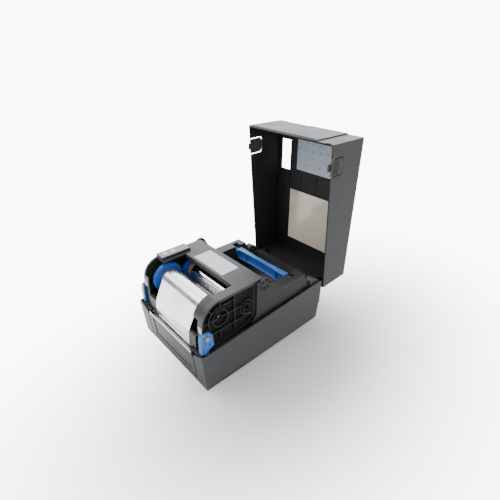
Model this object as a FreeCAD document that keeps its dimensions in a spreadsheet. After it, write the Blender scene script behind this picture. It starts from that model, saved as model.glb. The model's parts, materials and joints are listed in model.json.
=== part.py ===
import FreeCAD, Part
import math
import operator
import os
import Sketcher
from FreeCAD import Placement, Rotation, Vector

# Desktop thermal transfer label printer with its top cover standing open.
# Millimetres. X runs to the right as seen from the front, Y runs to the rear, Z is up.
# Every piece is drawn with Y = 0 at the front top edge of the lower case and Z = 0 on the
# table. The cover is drawn shut, then turned about its hinge to the angle at which it rests.

SIZES = {
    # Lower case
    "case_width": 214.0,
    "case_depth": 312.0,
    "wall": 2.5,
    "foot_height": 3.0,
    "foot_radius": 8.0,
    "foot_inset": 24.0,
    "rim_front": 83.0,
    "rim_rear": 99.0,
    "front_lean": 6.5,
    "rear_step_height": 40.0,
    "rear_step_in": 2.0,
    "rear_lean": 6.0,
    "dip_half": 80.0,
    "dip_run": 22.0,
    "dip_depth": 11.0,
    "vent_width": 3.0,
    "vent_pitch": 7.0,
    "vent_height": 4.0,
    "vent_first": 40.0,
    "vent_count": 9.0,
    # Cover
    "open_angle": 88.0,
    "parting_gap": 0.8,
    "cover_top_front": 180.0,
    "cover_top_rear": 176.0,
    "cover_set_back": 3.9,
    "cover_edge_radius": 1.5,
    "hinge_from_rear": 8.8,
    "hinge_height": 83.3,
    "hinge_pin_radius": 2.5,
    "arm_inner": 80.2,
    "arm_width": 6.8,
    "arm_ring_radius": 6.0,
    "arm_top": 118.0,
    "side_gap": 1.0,
    "hump_width": 14.0,
    "hump_front": 279.0,
    "hump_top": 111.0,
    "hump_rear_gap": 4.0,
    "hump_foot": 74.0,
    "running_gap": 0.05,
    "loose_gap": 0.3,
    "cover_front_wall": 1.6,
    "face_plate_right": 70.5,
    "face_plate_thick": 2.0,
    "panel_hole_left": 97.0,
    "panel_hole_right": 69.5,
    "panel_hole_front": 41.0,
    "panel_hole_rear": 109.0,
    "view_left": 67.0,
    "view_right": 50.0,
    "view_front": 152.0,
    "view_rear": 281.0,
    "cover_rib_depth": 1.3,
    "cover_rib_thick": 2.0,
    "pocket_front": 111.0,
    "pocket_rear": 149.0,
    "ledge_front": 104.5,
    "pocket_rib_left": 64.0,
    "pocket_rib_middle": 35.0,
    "pocket_rib_right": 7.0,
    "note_half": 49.0,
    "note_front": 35.5,
    "note_rear": 102.5,
    "label_left": 44.0,
    "label_right": 42.0,
    "label_front": 96.6,
    "label_rear": 135.0,
    "sticker_low": 122.0,
    "sticker_high": 134.5,
    "sheet_thick": 0.3,
    "scoop_left": 84.0,
    "scoop_right": 22.0,
    "scoop_depth": 3.2,
    "scoop_drop": 5.8,
    "scoop_run": 7.9,
    "face_groove_low": 1.6,
    "face_groove_high": 6.5,
    "face_groove_depth": 1.1,
    "keeper_notch": 90.0,
    # Cover latches
    "latch_front": 30.0,
    "latch_rear": 60.0,
    "latch_top": 118.0,
    "latch_slot": 2.2,
    "latch_corner": 6.0,
    "hook_front": 37.0,
    "hook_rear": 50.0,
    "hook_drop": 5.5,
    "hook_thick": 2.6,
    "hook_root": 96.0,
    "grip_depth": 0.9,
    "grip_pitch": 3.4,
    "grip_count": 5.0,
    # Front panel and tear bar
    "bezel_half": 76.0,
    "bezel_groove": 2.6,
    "bezel_bottom": 15.0,
    "bezel_top": 67.0,
    "bezel_recess": 1.2,
    "bezel_margin": 8.0,
    "tear_bar_half": 72.0,
    "tear_bar_bottom": 70.5,
    "tear_bar_top": 75.0,
    "tear_bar_edge": 0.9,
    "tear_bar_rear": 8.2,
    "tear_bar_rear_top": 71.6,
    "tear_shelf_rear": 7.5,
    # Inner housing with the label bay
    "housing_half": 100.0,
    "bay_half": 76.0,
    "deck_top": 78.5,
    "deck_gap": 0.9,
    "deck_front": 3.9,
    "deck_opening_half": 70.0,
    "deck_opening_rear": 124.0,
    "housing_top": 134.0,
    "housing_front": 128.5,
    "housing_foot_y": 111.5,
    "housing_slant_z": 105.0,
    "brow_y": 164.5,
    "housing_dip_y": 173.0,
    "housing_back_y": 257.0,
    "housing_end_y": 274.0,
    "housing_end_z": 101.0,
    "bay_front": 161.0,
    "bay_front_top": 146.0,
    "bay_radius": 65.0,
    "bay_lip": 97.0,
    "bay_rear": 306.0,
    "paper_slot_half": 60.0,
    "paper_slot_bottom": 68.5,
    "paper_slot_top": 75.0,
    "post_radius": 4.5,
    "post_foot": 30.0,
    "post_front_y": 18.0,
    "post_rear_y": 268.0,
    "post_x": 92.0,
    "screw_radius": 1.5,
    "screw_head_radius": 2.8,
    "screw_head_height": 2.2,
    # Label spindle
    "spindle_y": 235.0,
    "spindle_z": 118.5,
    "spindle_half": 72.0,
    "spindle_top_half": 7.0,
    "spindle_waist_half": 4.6,
    "spindle_rise": 11.5,
    "spindle_skin": 2.4,
    "spindle_rib_place": 46.0,
    "journal_half": 6.0,
    "journal_end": 88.0,
    "slot_end": 90.0,
    "slot_half": 6.6,
    # Print-head module
    "module_half": 95.8,
    "module_top": 174.0,
    "module_pivot_y": 148.0,
    "module_pivot_z": 160.5,
    "pivot_pin_radius": 4.0,
    "hub_radius": 14.4,
    "hub_thick": 3.6,
    "hub_recess_inner": 7.8,
    "hub_recess_outer": 11.6,
    "hub_recess_depth": 1.4,
    "hub_spoke": 4.2,
    "hub_cup_inner": 2.4,
    "hub_cup_outer": 4.4,
    "hub_cup_drop": 2.2,
    "ear_radius": 11.0,
    "nose_radius": 39.0,
    "rewind_y": 50.4,
    "rewind_z": 135.0,
    "supply_y": 109.5,
    "supply_z": 128.0,
    "skin": 2.5,
    "plate_front": 91.0,
    "plate_rear": 146.5,
    "lip_height": 9.0,
    "window_left": 66.0,
    "window_right": 77.5,
    "rim_inner": 70.0,
    "rim_thick": 3.0,
    "left_plate_front": 42.0,
    "module_bottom": 84.0,
    "module_edge_drop": 1.5,
    "module_edge_run": 12.0,
    "wall_right": 86.0,
    "wall_left": 90.8,
    "left_face_end": 79.0,
    "right_face_end": 84.0,
    "left_face_angle": 15.0,
    "rim_foot_angle": 16.5,
    "grip_ridge": 0.5,
    "ridge_first": 22.0,
    "ridge_step": 5.0,
    "ridge_count": 12.0,
    "tray_bottom": 92.0,
    "tray_front": 22.0,
    "head_rib_inner": 60.0,
    "head_rib_bottom": 76.5,
    "side_rear": 140.0,
    "post_inner": 57.5,
    "post_outer": 77.0,
    "post_front": 9.6,
    "post_depth": 6.5,
    "post_foot_end": 65.5,
    "post_foot_bottom": 71.2,
    "post_top": 107.0,
    "rib_thick": 1.0,
    "rib_tip": 94.8,
    "rib_low": 110.5,
    "rib_middle": 138.0,
    "rib_high": 160.0,
    "beam_rib_rear": 96.0,
    "rib_low_rear": 120.0,
    "lip_bottom": 168.5,
    "rib_post_y": 81.0,
    "ring_radius": 16.3,
    "arc_radius": 25.0,
    "disc_radius": 15.0,
    "spoke_rib_angle": 48.0,
    "arc_rib_low": -35.0,
    "arc_rib_high": 88.0,
    "short_arc_low": 60.0,
    "short_arc_high": 120.0,
    "short_arc_gap": 4.0,
    "hook_rib_side": 10.0,
    "hook_rib_drop": 13.0,
    # Control panel
    "panel_left": 95.3,
    "panel_right": 71.5,
    "panel_front": 42.8,
    "panel_rear": 107.0,
    "panel_top": 179.4,
    "panel_skin": 0.4,
    "button_x": 83.2,
    "button_first_y": 56.0,
    "button_second_y": 73.0,
    "button_radius": 5.0,
    "button_depth": 4.0,
    "button_proud": 0.9,
    "button_travel": 0.8,
    "lamp_first_y": 85.0,
    "lamp_pitch": 5.4,
    "lamp_radius": 1.5,
    # Spools
    "film_half": 56.0,
    "core_half": 66.0,
    "core_radius": 17.6,
    "core_bore": 12.8,
    "rewind_roll_radius": 22.6,
    "supply_roll_radius": 18.4,
    "rewind_gear_radius": 31.0,
    "supply_gear_radius": 27.0,
    "rewind_gear_teeth": 36.0,
    "supply_gear_teeth": 32.0,
    "drive_gear_teeth": 12.0,
    "drive_gear_angle": 75.0,
    "spool_gear_width": 7.0,
    "spool_shaft_radius": 5.0,
    "spool_flange_radius": 20.0,
    "spool_flange_thick": 3.0,
    "spool_tooth": 2.2,
    # Ribbon path
    "bar_radius": 2.5,
    "front_bar_y": 13.4,
    "front_bar_z": 103.5,
    "nose_bar_radius": 1.5,
    "nose_bar_y": 11.0,
    "nose_bar_z": 73.5,
    "rear_bar_y": 62.0,
    "rear_bar_z": 80.0,
    "bar_half": 61.0,
    "web_thick": 0.3,
    # Print head
    "head_half": 54.0,
    "head_front": 16.0,
    "head_rear": 46.0,
    "head_top": 84.0,
    "head_gap": 0.45,
    "ceramic_thick": 1.0,
    "ceramic_rear": 27.0,
    "bracket_thick": 1.5,
    "spring_radius": 4.0,
    "spring_wire": 0.8,
    "spring_place": 36.0,
    # Release levers
    "lever_y": 17.1,
    "lever_z": 114.1,
    "lever_radius": 11.0,
    "lever_thick": 4.6,
    "lever_bottom": 84.2,
    "lever_front_y": 5.4,
    "lever_rear_y": 30.0,
    "lever_rear_z": 93.5,
    "lever_shaft_radius": 3.0,
    "lever_screw_radius": 4.0,
    "lever_screw_height": 1.2,
    "lever_hook_bottom": 71.0,
    "lever_pull": 92.0,
    "lever_flange_thick": 2.2,
    "lever_flange_bend": 112.0,
    "lever_flange_top": 121.5,
    "lever_flange_lean": 1.4,
    "lever_leg_y": 10.6,
    "lever_leg_z": 85.8,
    "lever_leg_radius": 2.4,
    "lever_slit_y": 22.4,
    "lever_slit_low": 95.0,
    "lever_slit_high": 101.5,
    "keeper_y": 24.5,
    "keeper_z": 74.0,
    "keeper_gap": 0.5,
    "keeper_radius": 1.5,
    # Paper drive under the deck
    "platen_y": 18.0,
    "platen_z": 61.0,
    "platen_radius": 8.0,
    "platen_shaft_radius": 4.0,
    "platen_half": 57.0,
    "frame_half": 66.0,
    "frame_thick": 1.6,
    "frame_front": 11.0,
    "frame_rear": 84.0,
    "frame_top": 74.0,
    "bushing_radius": 6.0,
    "bushing_length": 4.0,
    "gear_module": 1.0,
    "platen_teeth": 20.0,
    "idler_teeth": 32.0,
    "pinion_teeth": 12.0,
    "gear_line_angle": 40.0,
    "gear_width": 6.0,
    "gear_inner": 71.0,
    "motor_side": 42.0,
    "motor_length": 34.0,
    "motor_shaft_radius": 2.5,
    # Paper bed and guides
    "bed_top": 68.0,
    "bed_thick": 1.5,
    "bed_front": 28.0,
    "guide_pinion_teeth": 12.0,
    "guide_rest": 56.0,
    "guide_thick": 4.0,
    "guide_height": 6.0,
    "guide_length": 36.0,
    "guide_travel": 40.0,
    "rack_side": 3.0,
    "guide_centre_y": 100.0,
    "sensor_side": 12.0,
    # Electronics
    "board_left": 84.0,
    "board_right": 60.0,
    "board_front": 110.0,
    "board_rear": 296.0,
    "board_bottom": 14.0,
    "board_thick": 1.6,
    "stand_radius": 3.5,
    "processor_side": 26.0,
    "processor_height": 2.4,
    "processor_x": -20.0,
    "memory_width": 10.0,
    "memory_length": 18.0,
    "memory_height": 1.6,
    "memory_x": 20.0,
    "memory_pitch": 16.0,
    "coil_x": -60.0,
    "coil_width": 22.0,
    "coil_length": 14.0,
    "coil_height": 16.0,
    "header_width": 40.0,
    "header_length": 6.0,
    "header_height": 9.0,
    "capacitor_x": -64.0,
    "capacitor_pitch": 14.0,
    "capacitor_radius": 5.0,
    "capacitor_height": 18.0,
    "board_row": 40.0,
    "rocker_x": 88.0,
    "rocker_z": 59.0,
    "rocker_half": 6.0,
    "rocker_half_height": 9.0,
    "rocker_tilt": 8.0,
    "rocker_depth": 14.0,
    "socket_rear_gap": 4.6,
    "inlet_x": -59.0,
    "inlet_width": 14.0,
    "inlet_height": 12.0,
    "usb_x": -30.0,
    "usb_width": 12.0,
    "usb_height": 11.0,
    "lan_x": -2.0,
    "lan_width": 16.0,
    "lan_height": 13.5,
    "serial_x": 35.0,
    "serial_width": 31.0,
    "serial_height": 12.5,
    "socket_length": 19.0,
}


class Size:
    """A number kept together with the formula that ties it to the sheet."""

    def __init__(self, value, formula=None):
        self.value = float(value)
        self.formula = formula or "({!r})".format(self.value)

    def __add__(self, other):
        return worked_out(self, "+", other)

    def __radd__(self, other):
        return worked_out(other, "+", self)

    def __sub__(self, other):
        return worked_out(self, "-", other)

    def __rsub__(self, other):
        return worked_out(other, "-", self)

    def __mul__(self, other):
        return worked_out(self, "*", other)

    def __rmul__(self, other):
        return worked_out(other, "*", self)

    def __truediv__(self, other):
        return worked_out(self, "/", other)

    def __rtruediv__(self, other):
        return worked_out(other, "/", self)

    def __neg__(self):
        return worked_out(0.0, "-", self)


STEPS = {"+": operator.add, "-": operator.sub, "*": operator.mul, "/": operator.truediv}


def as_size(amount):
    return amount if isinstance(amount, Size) else Size(amount)


def worked_out(left, sign, right):
    left, right = as_size(left), as_size(right)
    formula = "({} {} {})".format(left.formula, sign, right.formula)
    return Size(STEPS[sign](left.value, right.value), formula)


def root(amount):
    return Size(math.sqrt(amount.value), "sqrt({})".format(amount.formula))


def sine(angle):
    return Size(math.sin(math.radians(angle.value)), "sin({})".format(angle.formula))


def cosine(angle):
    return Size(math.cos(math.radians(angle.value)), "cos({})".format(angle.formula))


# Document, the sheet of sizes and the sheet of places worked out from them
doc = FreeCAD.newDocument("LabelPrinter")
sheet = doc.addObject("Spreadsheet::Sheet", "Sizes")
places = doc.addObject("Spreadsheet::Sheet", "Places")


class Driving:
    """The driving sizes by name."""


d = Driving()
for row, (alias, number) in enumerate(SIZES.items(), start=1):
    sheet.set("A{}".format(row), alias)
    sheet.set("B{}".format(row), str(number))
    sheet.setAlias("B{}".format(row), alias)
    setattr(d, alias, Size(number, "Sizes." + alias))
doc.recompute()


def place(alias, amount):
    """Gives a worked-out length a cell of its own and returns it under that name."""
    place.row += 1
    cell = "B{}".format(place.row)
    places.set("A{}".format(place.row), alias)
    places.set(cell, "=" + amount.formula)
    places.setAlias(cell, alias)
    return Size(amount.value, "Places." + alias)


place.row = 0

# Solids bound to the sheet
TURN = {
    "x": Rotation(Vector(1, 1, 1), 120),
    "y": Rotation(Vector(1, 0, 0), 90),
    "z": Rotation(),
}
ROD_TURN = {
    "x": Rotation(Vector(0, 1, 0), 90),
    "y": Rotation(Vector(1, 0, 0), -90),
    "z": Rotation(),
}
ALONG = {"x": Vector(1, 0, 0), "y": Vector(0, 1, 0), "z": Vector(0, 0, 1)}


def bind(thing, prop, amount):
    thing.setExpression(prop, as_size(amount).formula)


def put(thing, spot, turn=Rotation()):
    """Places an object with each coordinate bound to the sheet."""
    spot = [as_size(amount) for amount in spot]
    thing.Placement = Placement(Vector(*(amount.value for amount in spot)), turn)
    for letter, amount in zip("xyz", spot):
        bind(thing, "Placement.Base." + letter, amount)


def spread(axis, along, pair):
    """Coordinates in X, Y, Z order from the one along an axis and the other two."""
    first, second = pair
    return {
        "x": (along, first, second),
        "y": (first, along, second),
        "z": (first, second, along),
    }[axis]


def block(x, y, z):
    """A box between two places on each axis."""
    solid = doc.addObject("Part::Box", "block")
    for prop, (low, high) in zip(("Length", "Width", "Height"), (x, y, z)):
        bind(solid, prop, as_size(high) - low)
    put(solid, (x[0], y[0], z[0]))
    return solid


def rod(axis, centre, span, radius):
    """A round bar along an axis."""
    solid = doc.addObject("Part::Cylinder", "rod")
    bind(solid, "Radius", radius)
    bind(solid, "Height", as_size(span[1]) - span[0])
    put(solid, spread(axis, span[0], centre), ROD_TURN[axis])
    return solid


def taper(axis, centre, span, radii):
    """A round bar whose radius changes from one end to the other."""
    solid = doc.addObject("Part::Cone", "taper")
    bind(solid, "Radius1", radii[0])
    bind(solid, "Radius2", radii[1])
    bind(solid, "Height", as_size(span[1]) - span[0])
    put(solid, spread(axis, span[0], centre), ROD_TURN[axis])
    return solid


def join(*things):
    solid = doc.addObject("Part::MultiFuse", "joined")
    solid.Shapes = list(things)
    return solid


def cut(base, *tools):
    solid = doc.addObject("Part::Cut", "cut")
    solid.Base = base
    solid.Tool = tools[0] if len(tools) == 1 else join(*tools)
    return solid


def common(first, second):
    solid = doc.addObject("Part::Common", "shared")
    solid.Base = first
    solid.Tool = second
    return solid


def tube(axis, centre, span, outer, inner):
    return cut(rod(axis, centre, span, outer), rod(axis, centre, span, inner))


class Via:
    """A point that a round stretch of an outline passes on its way to the next corner."""

    def __init__(self, first, second):
        self.spot = (as_size(first), as_size(second))


def flat(spot):
    return Vector(spot[0].value, spot[1].value, 0)


def hold(sketch, geometry, end, spot):
    """Ties a point of a sketch to its two distances from the sketch's own origin."""
    for kind, amount in zip(("DistanceX", "DistanceY"), spot):
        rule = Sketcher.Constraint(kind, -1, 1, geometry, end, amount.value)
        index = sketch.addConstraint(rule)
        bind(sketch, "Constraints[{}]".format(index), amount)


def round_stretch(start, via, end):
    """An arc from start to end past via, and whether the sketch stores it back to front."""
    arc = Part.Arc(start, via, end).toShape().Curve
    centre = arc.Center
    first = math.atan2(start.y - centre.y, start.x - centre.x)
    last = math.atan2(end.y - centre.y, end.x - centre.x)
    middle = math.atan2(via.y - centre.y, via.x - centre.x)
    full = 2 * math.pi
    forward = (middle - first) % full < (last - first) % full
    circle = Part.Circle(centre, Vector(0, 0, 1), arc.Radius)
    if forward:
        return Part.ArcOfCircle(circle, first, last), False
    return Part.ArcOfCircle(circle, last, first), True


def draw(sketch, corners):
    """Draws a closed outline of straight and round stretches, each corner tied to the sheet."""
    corners = [c if isinstance(c, Via) else (as_size(c[0]), as_size(c[1])) for c in corners]
    spots = [c for c in corners if not isinstance(c, Via)]
    ends = []
    for number, spot in enumerate(spots):
        position = [i for i, c in enumerate(corners) if c is spot][0]
        following = corners[(position + 1) % len(corners)]
        target = spots[(number + 1) % len(spots)]
        if isinstance(following, Via):
            via = following.spot
            arc, swapped = round_stretch(flat(spot), flat(via), flat(target))
            line = sketch.addGeometry(arc, False)
            point = sketch.addGeometry(Part.Point(flat(via)), True)
            hold(sketch, point, 1, via)
            sketch.addConstraint(Sketcher.Constraint("PointOnObject", point, 1, line))
            ends.append((line, 2, 1) if swapped else (line, 1, 2))
        else:
            line = sketch.addGeometry(Part.LineSegment(flat(spot), flat(target)), False)
            ends.append((line, 1, 2))
    for number, (line, start, end) in enumerate(ends):
        following = ends[(number + 1) % len(ends)]
        rule = Sketcher.Constraint("Coincident", line, end, following[0], following[1])
        sketch.addConstraint(rule)
        hold(sketch, line, start, spots[number])


def slab(axis, span, corners):
    """An outline in the plane square to an axis, drawn out along that axis."""
    sketch = doc.addObject("Sketcher::SketchObject", "outline")
    put(sketch, spread(axis, span[0], (0, 0)), TURN[axis])
    draw(sketch, corners)
    solid = doc.addObject("Part::Extrusion", "slab")
    solid.Base = sketch
    solid.DirMode = "Custom"
    solid.Dir = ALONG[axis]
    solid.Solid = True
    bind(solid, "LengthFwd", as_size(span[1]) - span[0])
    return solid


def mirrored(thing):
    """The same solid on the other side of the middle plane."""
    solid = doc.addObject("Part::Mirroring", "mirrored")
    solid.Source = thing
    solid.Normal = Vector(1, 0, 0)
    return solid


def both(thing):
    return [thing, mirrored(thing)]


def softened(thing, radius, wanted):
    """Rounds the straight edges that a test picks out by their middle point."""
    doc.recompute()
    edges = thing.Shape.Edges
    picked = [i for i, e in enumerate(edges, start=1) if wanted(e)]
    solid = doc.addObject("Part::Fillet", "softened")
    solid.Base = thing
    solid.Edges = [(i, radius.value, radius.value) for i in picked]
    return solid


def runs_along(edge, axis):
    ends = [vertex.Point for vertex in edge.Vertexes]
    if len(ends) < 2:
        return False
    step = ends[1] - ends[0]
    return step.Length > 1e-6 and abs(step.normalize().dot(ALONG[axis])) > 0.999


def toothed_wheel(centre, span, tip, root_radius, teeth, tooth_share, bore, phase, axis="x"):
    """A gear: a round blank with a bore, one tooth and a polar pattern of that tooth.

    The tooth's foot takes tooth_share of the pitch at the root; the phase is the angle at
    which the first tooth stands.
    """
    body = doc.addObject("PartDesign::Body", "wheel")
    planes = {feature.Role: feature for feature in body.Origin.OriginFeatures}
    width = as_size(span[1]) - span[0]
    blank = body.newObject("Sketcher::SketchObject", "blank")
    blank.AttachmentSupport = (planes["XY_Plane"], [""])
    blank.MapMode = "FlatFace"
    for radius in (root_radius, bore):
        amount = as_size(radius)
        circle = Part.Circle(Vector(), Vector(0, 0, 1), amount.value)
        ring = blank.addGeometry(circle, False)
        blank.addConstraint(Sketcher.Constraint("Coincident", ring, 3, -1, 1))
        index = blank.addConstraint(Sketcher.Constraint("Radius", ring, amount.value))
        bind(blank, "Constraints[{}]".format(index), amount)
    disc = body.newObject("PartDesign::Pad", "disc")
    disc.Profile = blank
    bind(disc, "Length", width)
    foot = root_radius * tooth_share * math.pi / teeth
    crown = foot * 0.5
    sunk = root_radius - d.running_gap * 10
    tooth_sketch = body.newObject("Sketcher::SketchObject", "tooth_outline")
    tooth_sketch.AttachmentSupport = (planes["XY_Plane"], [""])
    tooth_sketch.MapMode = "FlatFace"
    draw(tooth_sketch, [(sunk, -foot), (tip, -crown), (tip, crown), (sunk, foot)])
    tooth = body.newObject("PartDesign::Pad", "tooth")
    tooth.Profile = tooth_sketch
    bind(tooth, "Length", width)
    doc.recompute()
    pattern = body.newObject("PartDesign::PolarPattern", "teeth")
    pattern.Originals = [tooth]
    pattern.Axis = (planes["Z_Axis"], [""])
    pattern.Angle = 360
    bind(pattern, "Occurrences", teeth)
    body.Tip = pattern
    # The wheel's own X axis, where the first tooth stands, turns to the angle of the phase
    # measured from +Y towards +Z.
    turn = TURN[axis].multiply(Rotation(Vector(0, 0, 1), as_size(phase).value))
    put(body, spread(axis, span[0], centre), turn)
    return body


# Nodes: each one holds the solids of one named piece
NODES = {}
# Steel pins pressed into the case and the drive frame: keepers, pivots and hinge pins
PINS = []


def node(label, *things, on_cover=False):
    piece = doc.addObject("Part::Compound", "node")
    piece.Links = list(things)
    piece.Label = label
    NODES[label] = (piece, on_cover)
    return piece


# Places that several pieces share
half_width = place("half_width", d.case_width / 2)
inner_half = place("inner_half", half_width - d.wall)
rim_rise = place("rim_rise", (d.rim_rear - d.rim_front) / d.case_depth)
hinge_y = place("hinge_y", d.case_depth - d.hinge_from_rear)
hinge_z = place("hinge_z", d.hinge_height)
rear_inner = place("rear_inner", d.case_depth - d.wall)


def rim(y):
    """Height of the lower case's sloping rim at a distance from the front."""
    return d.rim_front + rim_rise * y


def front_face(z):
    """How far back the leaning front face stands at a height."""
    return d.front_lean * (d.rim_front - z) / (d.rim_front - d.foot_height)


cover_fall = place(
    "cover_fall",
    (d.cover_top_front - d.cover_top_rear) / (d.case_depth - d.cover_set_back),
)


def cover_top(y):
    """Height of the shut cover's top at a distance from the front."""
    return d.cover_top_front - cover_fall * (y - d.cover_set_back)


rim_square = place("rim_square", 1 / root(1 + rim_rise * rim_rise))
sweep_radius = place("sweep_radius", (rim(hinge_y) - hinge_z) * rim_square)
sweep_start_y = place("sweep_start_y", hinge_y - sweep_radius * rim_rise * rim_square)
sweep_start_z = place("sweep_start_z", hinge_z + sweep_radius * rim_square)
sweep_end_z = place(
    "sweep_end_z",
    hinge_z + root(sweep_radius * sweep_radius - d.hinge_from_rear * d.hinge_from_rear),
)
sweep_middle_y = place("sweep_middle_y", hinge_y + d.hinge_from_rear / 2)
sweep_middle_z = place(
    "sweep_middle_z",
    hinge_z + root(sweep_radius * sweep_radius - d.hinge_from_rear * d.hinge_from_rear / 4),
)


# Lower case: a tub with a sloping rim, a leaning front and a stepped rear
def make_lower_case():
    width = (-half_width, half_width)
    step_low = d.rear_step_height - d.rear_step_in
    outer = slab("x", width, [
        (d.front_lean, d.foot_height),
        (0, d.rim_front),
        (sweep_start_y, sweep_start_z),
        Via(sweep_middle_y, sweep_middle_z),
        (d.case_depth, sweep_end_z),
        (d.case_depth, d.rear_step_height),
        (d.case_depth - d.rear_step_in, step_low),
        (d.case_depth - d.rear_lean, d.foot_height),
    ])
    floor = d.foot_height + d.wall
    above = d.rim_rear + d.wall
    inner = slab("x", (-inner_half, inner_half), [
        (front_face(floor) + d.wall, floor),
        (front_face(above) + d.wall, above),
        (rear_inner, above),
        (rear_inner, d.rear_step_height + d.wall),
        (rear_inner - d.rear_step_in, step_low),
        (rear_inner - d.rear_lean, floor),
    ])
    dip_floor = d.rim_front - d.dip_depth
    dip_end = d.dip_half + d.dip_run
    above_rim = d.rim_front + d.wall
    dip = slab("y", (-d.wall, 3 * d.wall), [
        (-dip_end, d.rim_front),
        (-d.dip_half, dip_floor),
        (d.dip_half, dip_floor),
        (dip_end, d.rim_front),
        (dip_end, above_rim),
        (-dip_end, above_rim),
    ])
    opening_half = d.bezel_half + d.bezel_groove
    bezel_hole = block(
        (-opening_half, opening_half),
        (-d.wall, d.front_lean + 2 * d.wall),
        (d.bezel_bottom - d.bezel_groove, d.rim_front),
    )
    notch = block(
        (d.arm_inner - d.side_gap, d.arm_inner + d.arm_width + d.side_gap),
        (rear_inner - d.wall, d.case_depth + d.wall),
        (hinge_z - d.arm_ring_radius - d.side_gap, above),
    )
    vents = []
    for number in range(int(SIZES["vent_count"])):
        first = d.vent_first + d.vent_pitch * number
        vents.append(block(
            (inner_half - d.wall, half_width + d.wall),
            (first, first + d.vent_width),
            (d.foot_height + d.wall, d.foot_height + d.wall + d.vent_height),
        ))
    tub = cut(outer, inner, dip, bezel_hole, *both(notch), *vents, *rear_cuts())
    # Humps beside the arms carry the hinge pins
    hump_low = d.arm_inner + d.arm_width + d.side_gap
    hump_high = hump_low + d.hump_width
    hump_rear = d.case_depth - d.hump_rear_gap
    crown_y = (d.hump_front + hump_rear) / 2
    brow = d.hump_top - (hump_rear - d.hump_front) / 3
    hump = slab("x", (hump_low, hump_high), [
        (d.hump_front, d.hump_foot),
        (d.hump_front, brow),
        Via(d.hump_front + d.wall * 1.4, d.hump_top - d.wall * 1.4),
        (crown_y - d.wall, d.hump_top),
        (hump_rear, d.rim_rear),
        (hump_rear, d.hump_foot),
    ])
    root_block = block(
        (hump_low, inner_half + d.wall / 2),
        (d.hump_front, rear_inner + d.wall / 2),
        (d.hump_foot, hinge_z + d.arm_ring_radius),
    )
    pin_bore = rod("x", (hinge_y, hinge_z), (d.arm_inner, hump_high), d.hinge_pin_radius)
    carrier = cut(join(hump, root_block), pin_bore)
    return join(tub, *both(carrier), *case_posts(), *board_stands())


def post_spots():
    rows = ((d.post_x, d.post_front_y), (d.post_x, d.post_rear_y))
    return [(side * x, y) for x, y in rows for side in (-1, 1)]


def case_posts():
    """Hollow posts on the floor that the inner housing's posts stand on."""
    floor = d.foot_height + d.wall / 2
    return [
        tube("z", spot, (floor, d.post_foot), d.post_radius, d.screw_radius)
        for spot in post_spots()
    ]


def stand_spots():
    inset = d.stand_radius + 1
    columns = (-d.board_left + inset, d.board_right - inset)
    rows = (d.board_front + inset, d.board_rear - inset)
    return [(x, y) for x in columns for y in rows]


def board_stands():
    floor = d.foot_height + d.wall / 2
    return [
        tube("z", spot, (floor, d.board_bottom), d.stand_radius, d.screw_radius)
        for spot in stand_spots()
    ]


def rear_cuts():
    """Openings in the rear wall for the mains switch and the sockets of the main board."""
    reach = (d.case_depth - d.rear_lean - 2 * d.wall, d.case_depth + d.wall)
    cuts = [
        block(
            (x - width / 2 - d.loose_gap, x + width / 2 + d.loose_gap),
            reach,
            (board_top, board_top + height + d.loose_gap),
        )
        for x, width, height in (SOCKET_SIZES[name] for name in sorted(SOCKET_SIZES))
    ]
    cuts.append(block(switch_width, (rear_inner - d.wall, d.case_depth + d.wall), switch_height))
    return cuts


board_top = place("board_top", d.board_bottom + d.board_thick)
SOCKET_SIZES = {
    "power_inlet": (d.inlet_x, d.inlet_width, d.inlet_height),
    "usb_port": (d.usb_x, d.usb_width, d.usb_height),
    "lan_port": (d.lan_x, d.lan_width, d.lan_height),
    "serial_port": (d.serial_x, d.serial_width, d.serial_height),
}
switch_side = d.rocker_half + d.loose_gap + d.skin / 2
switch_rise = d.rocker_half_height + 2 * d.loose_gap + d.skin / 2
switch_width = (-d.rocker_x - switch_side, -d.rocker_x + switch_side)
switch_height = (d.rocker_z - switch_rise, d.rocker_z + switch_rise)
deck_bottom = place("deck_bottom", d.deck_top - d.wall)


def keeper_bosses():
    """Bosses on the side walls that hold the steel keepers below the release levers."""
    boss = rod(
        "x", (d.keeper_y, d.keeper_z),
        (inner_half - d.lever_thick / 2, inner_half + d.wall / 2), d.keeper_radius * 1.3,
    )
    return both(boss)


def make_case_pieces():
    screw_holes = []
    for spot in post_spots():
        head = (d.foot_height - d.wall, d.foot_height + d.screw_head_height)
        screw_holes.append(rod("z", spot, head, d.screw_head_radius))
        screw_holes.append(rod("z", spot, (d.foot_height, d.post_foot), d.screw_radius))
    keeper_end = place("keeper_end", inner_half - d.lever_thick * 1.8)
    keeper_span = (keeper_end, inner_half)
    keeper_hole = rod("x", (d.keeper_y, d.keeper_z), keeper_span, d.keeper_radius)
    case = join(make_lower_case(), *keeper_bosses())
    node("lower_case", cut(case, *screw_holes, *both(keeper_hole)))

    PINS.extend(both(rod("x", (d.keeper_y, d.keeper_z), keeper_span, d.keeper_radius)))

    screws = []
    for spot in post_spots():
        seat = d.foot_height + d.screw_head_height
        head = rod("z", spot, (d.foot_height, seat), d.screw_head_radius)
        shank = rod("z", spot, (seat - d.wall / 2, d.post_foot + d.foot_height * 4), d.screw_radius)
        screws.append(join(head, shank))
    for spot in stand_spots():
        head_top = board_top + d.screw_head_height
        head = rod("z", spot, (board_top, head_top), d.screw_head_radius)
        shank = rod("z", spot, (d.board_bottom / 2, head_top - d.wall / 2), d.screw_radius)
        screws.append(join(head, shank))
    node("case_screws", *screws)

    across = half_width - d.foot_inset
    feet = [
        taper("z", (side * across, y), (0, d.foot_height), (d.foot_radius - 1, d.foot_radius))
        for side in (-1, 1)
        for y in (d.foot_inset, d.case_depth - d.rear_lean - d.foot_inset)
    ]
    node("rubber_feet", *feet)


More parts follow.
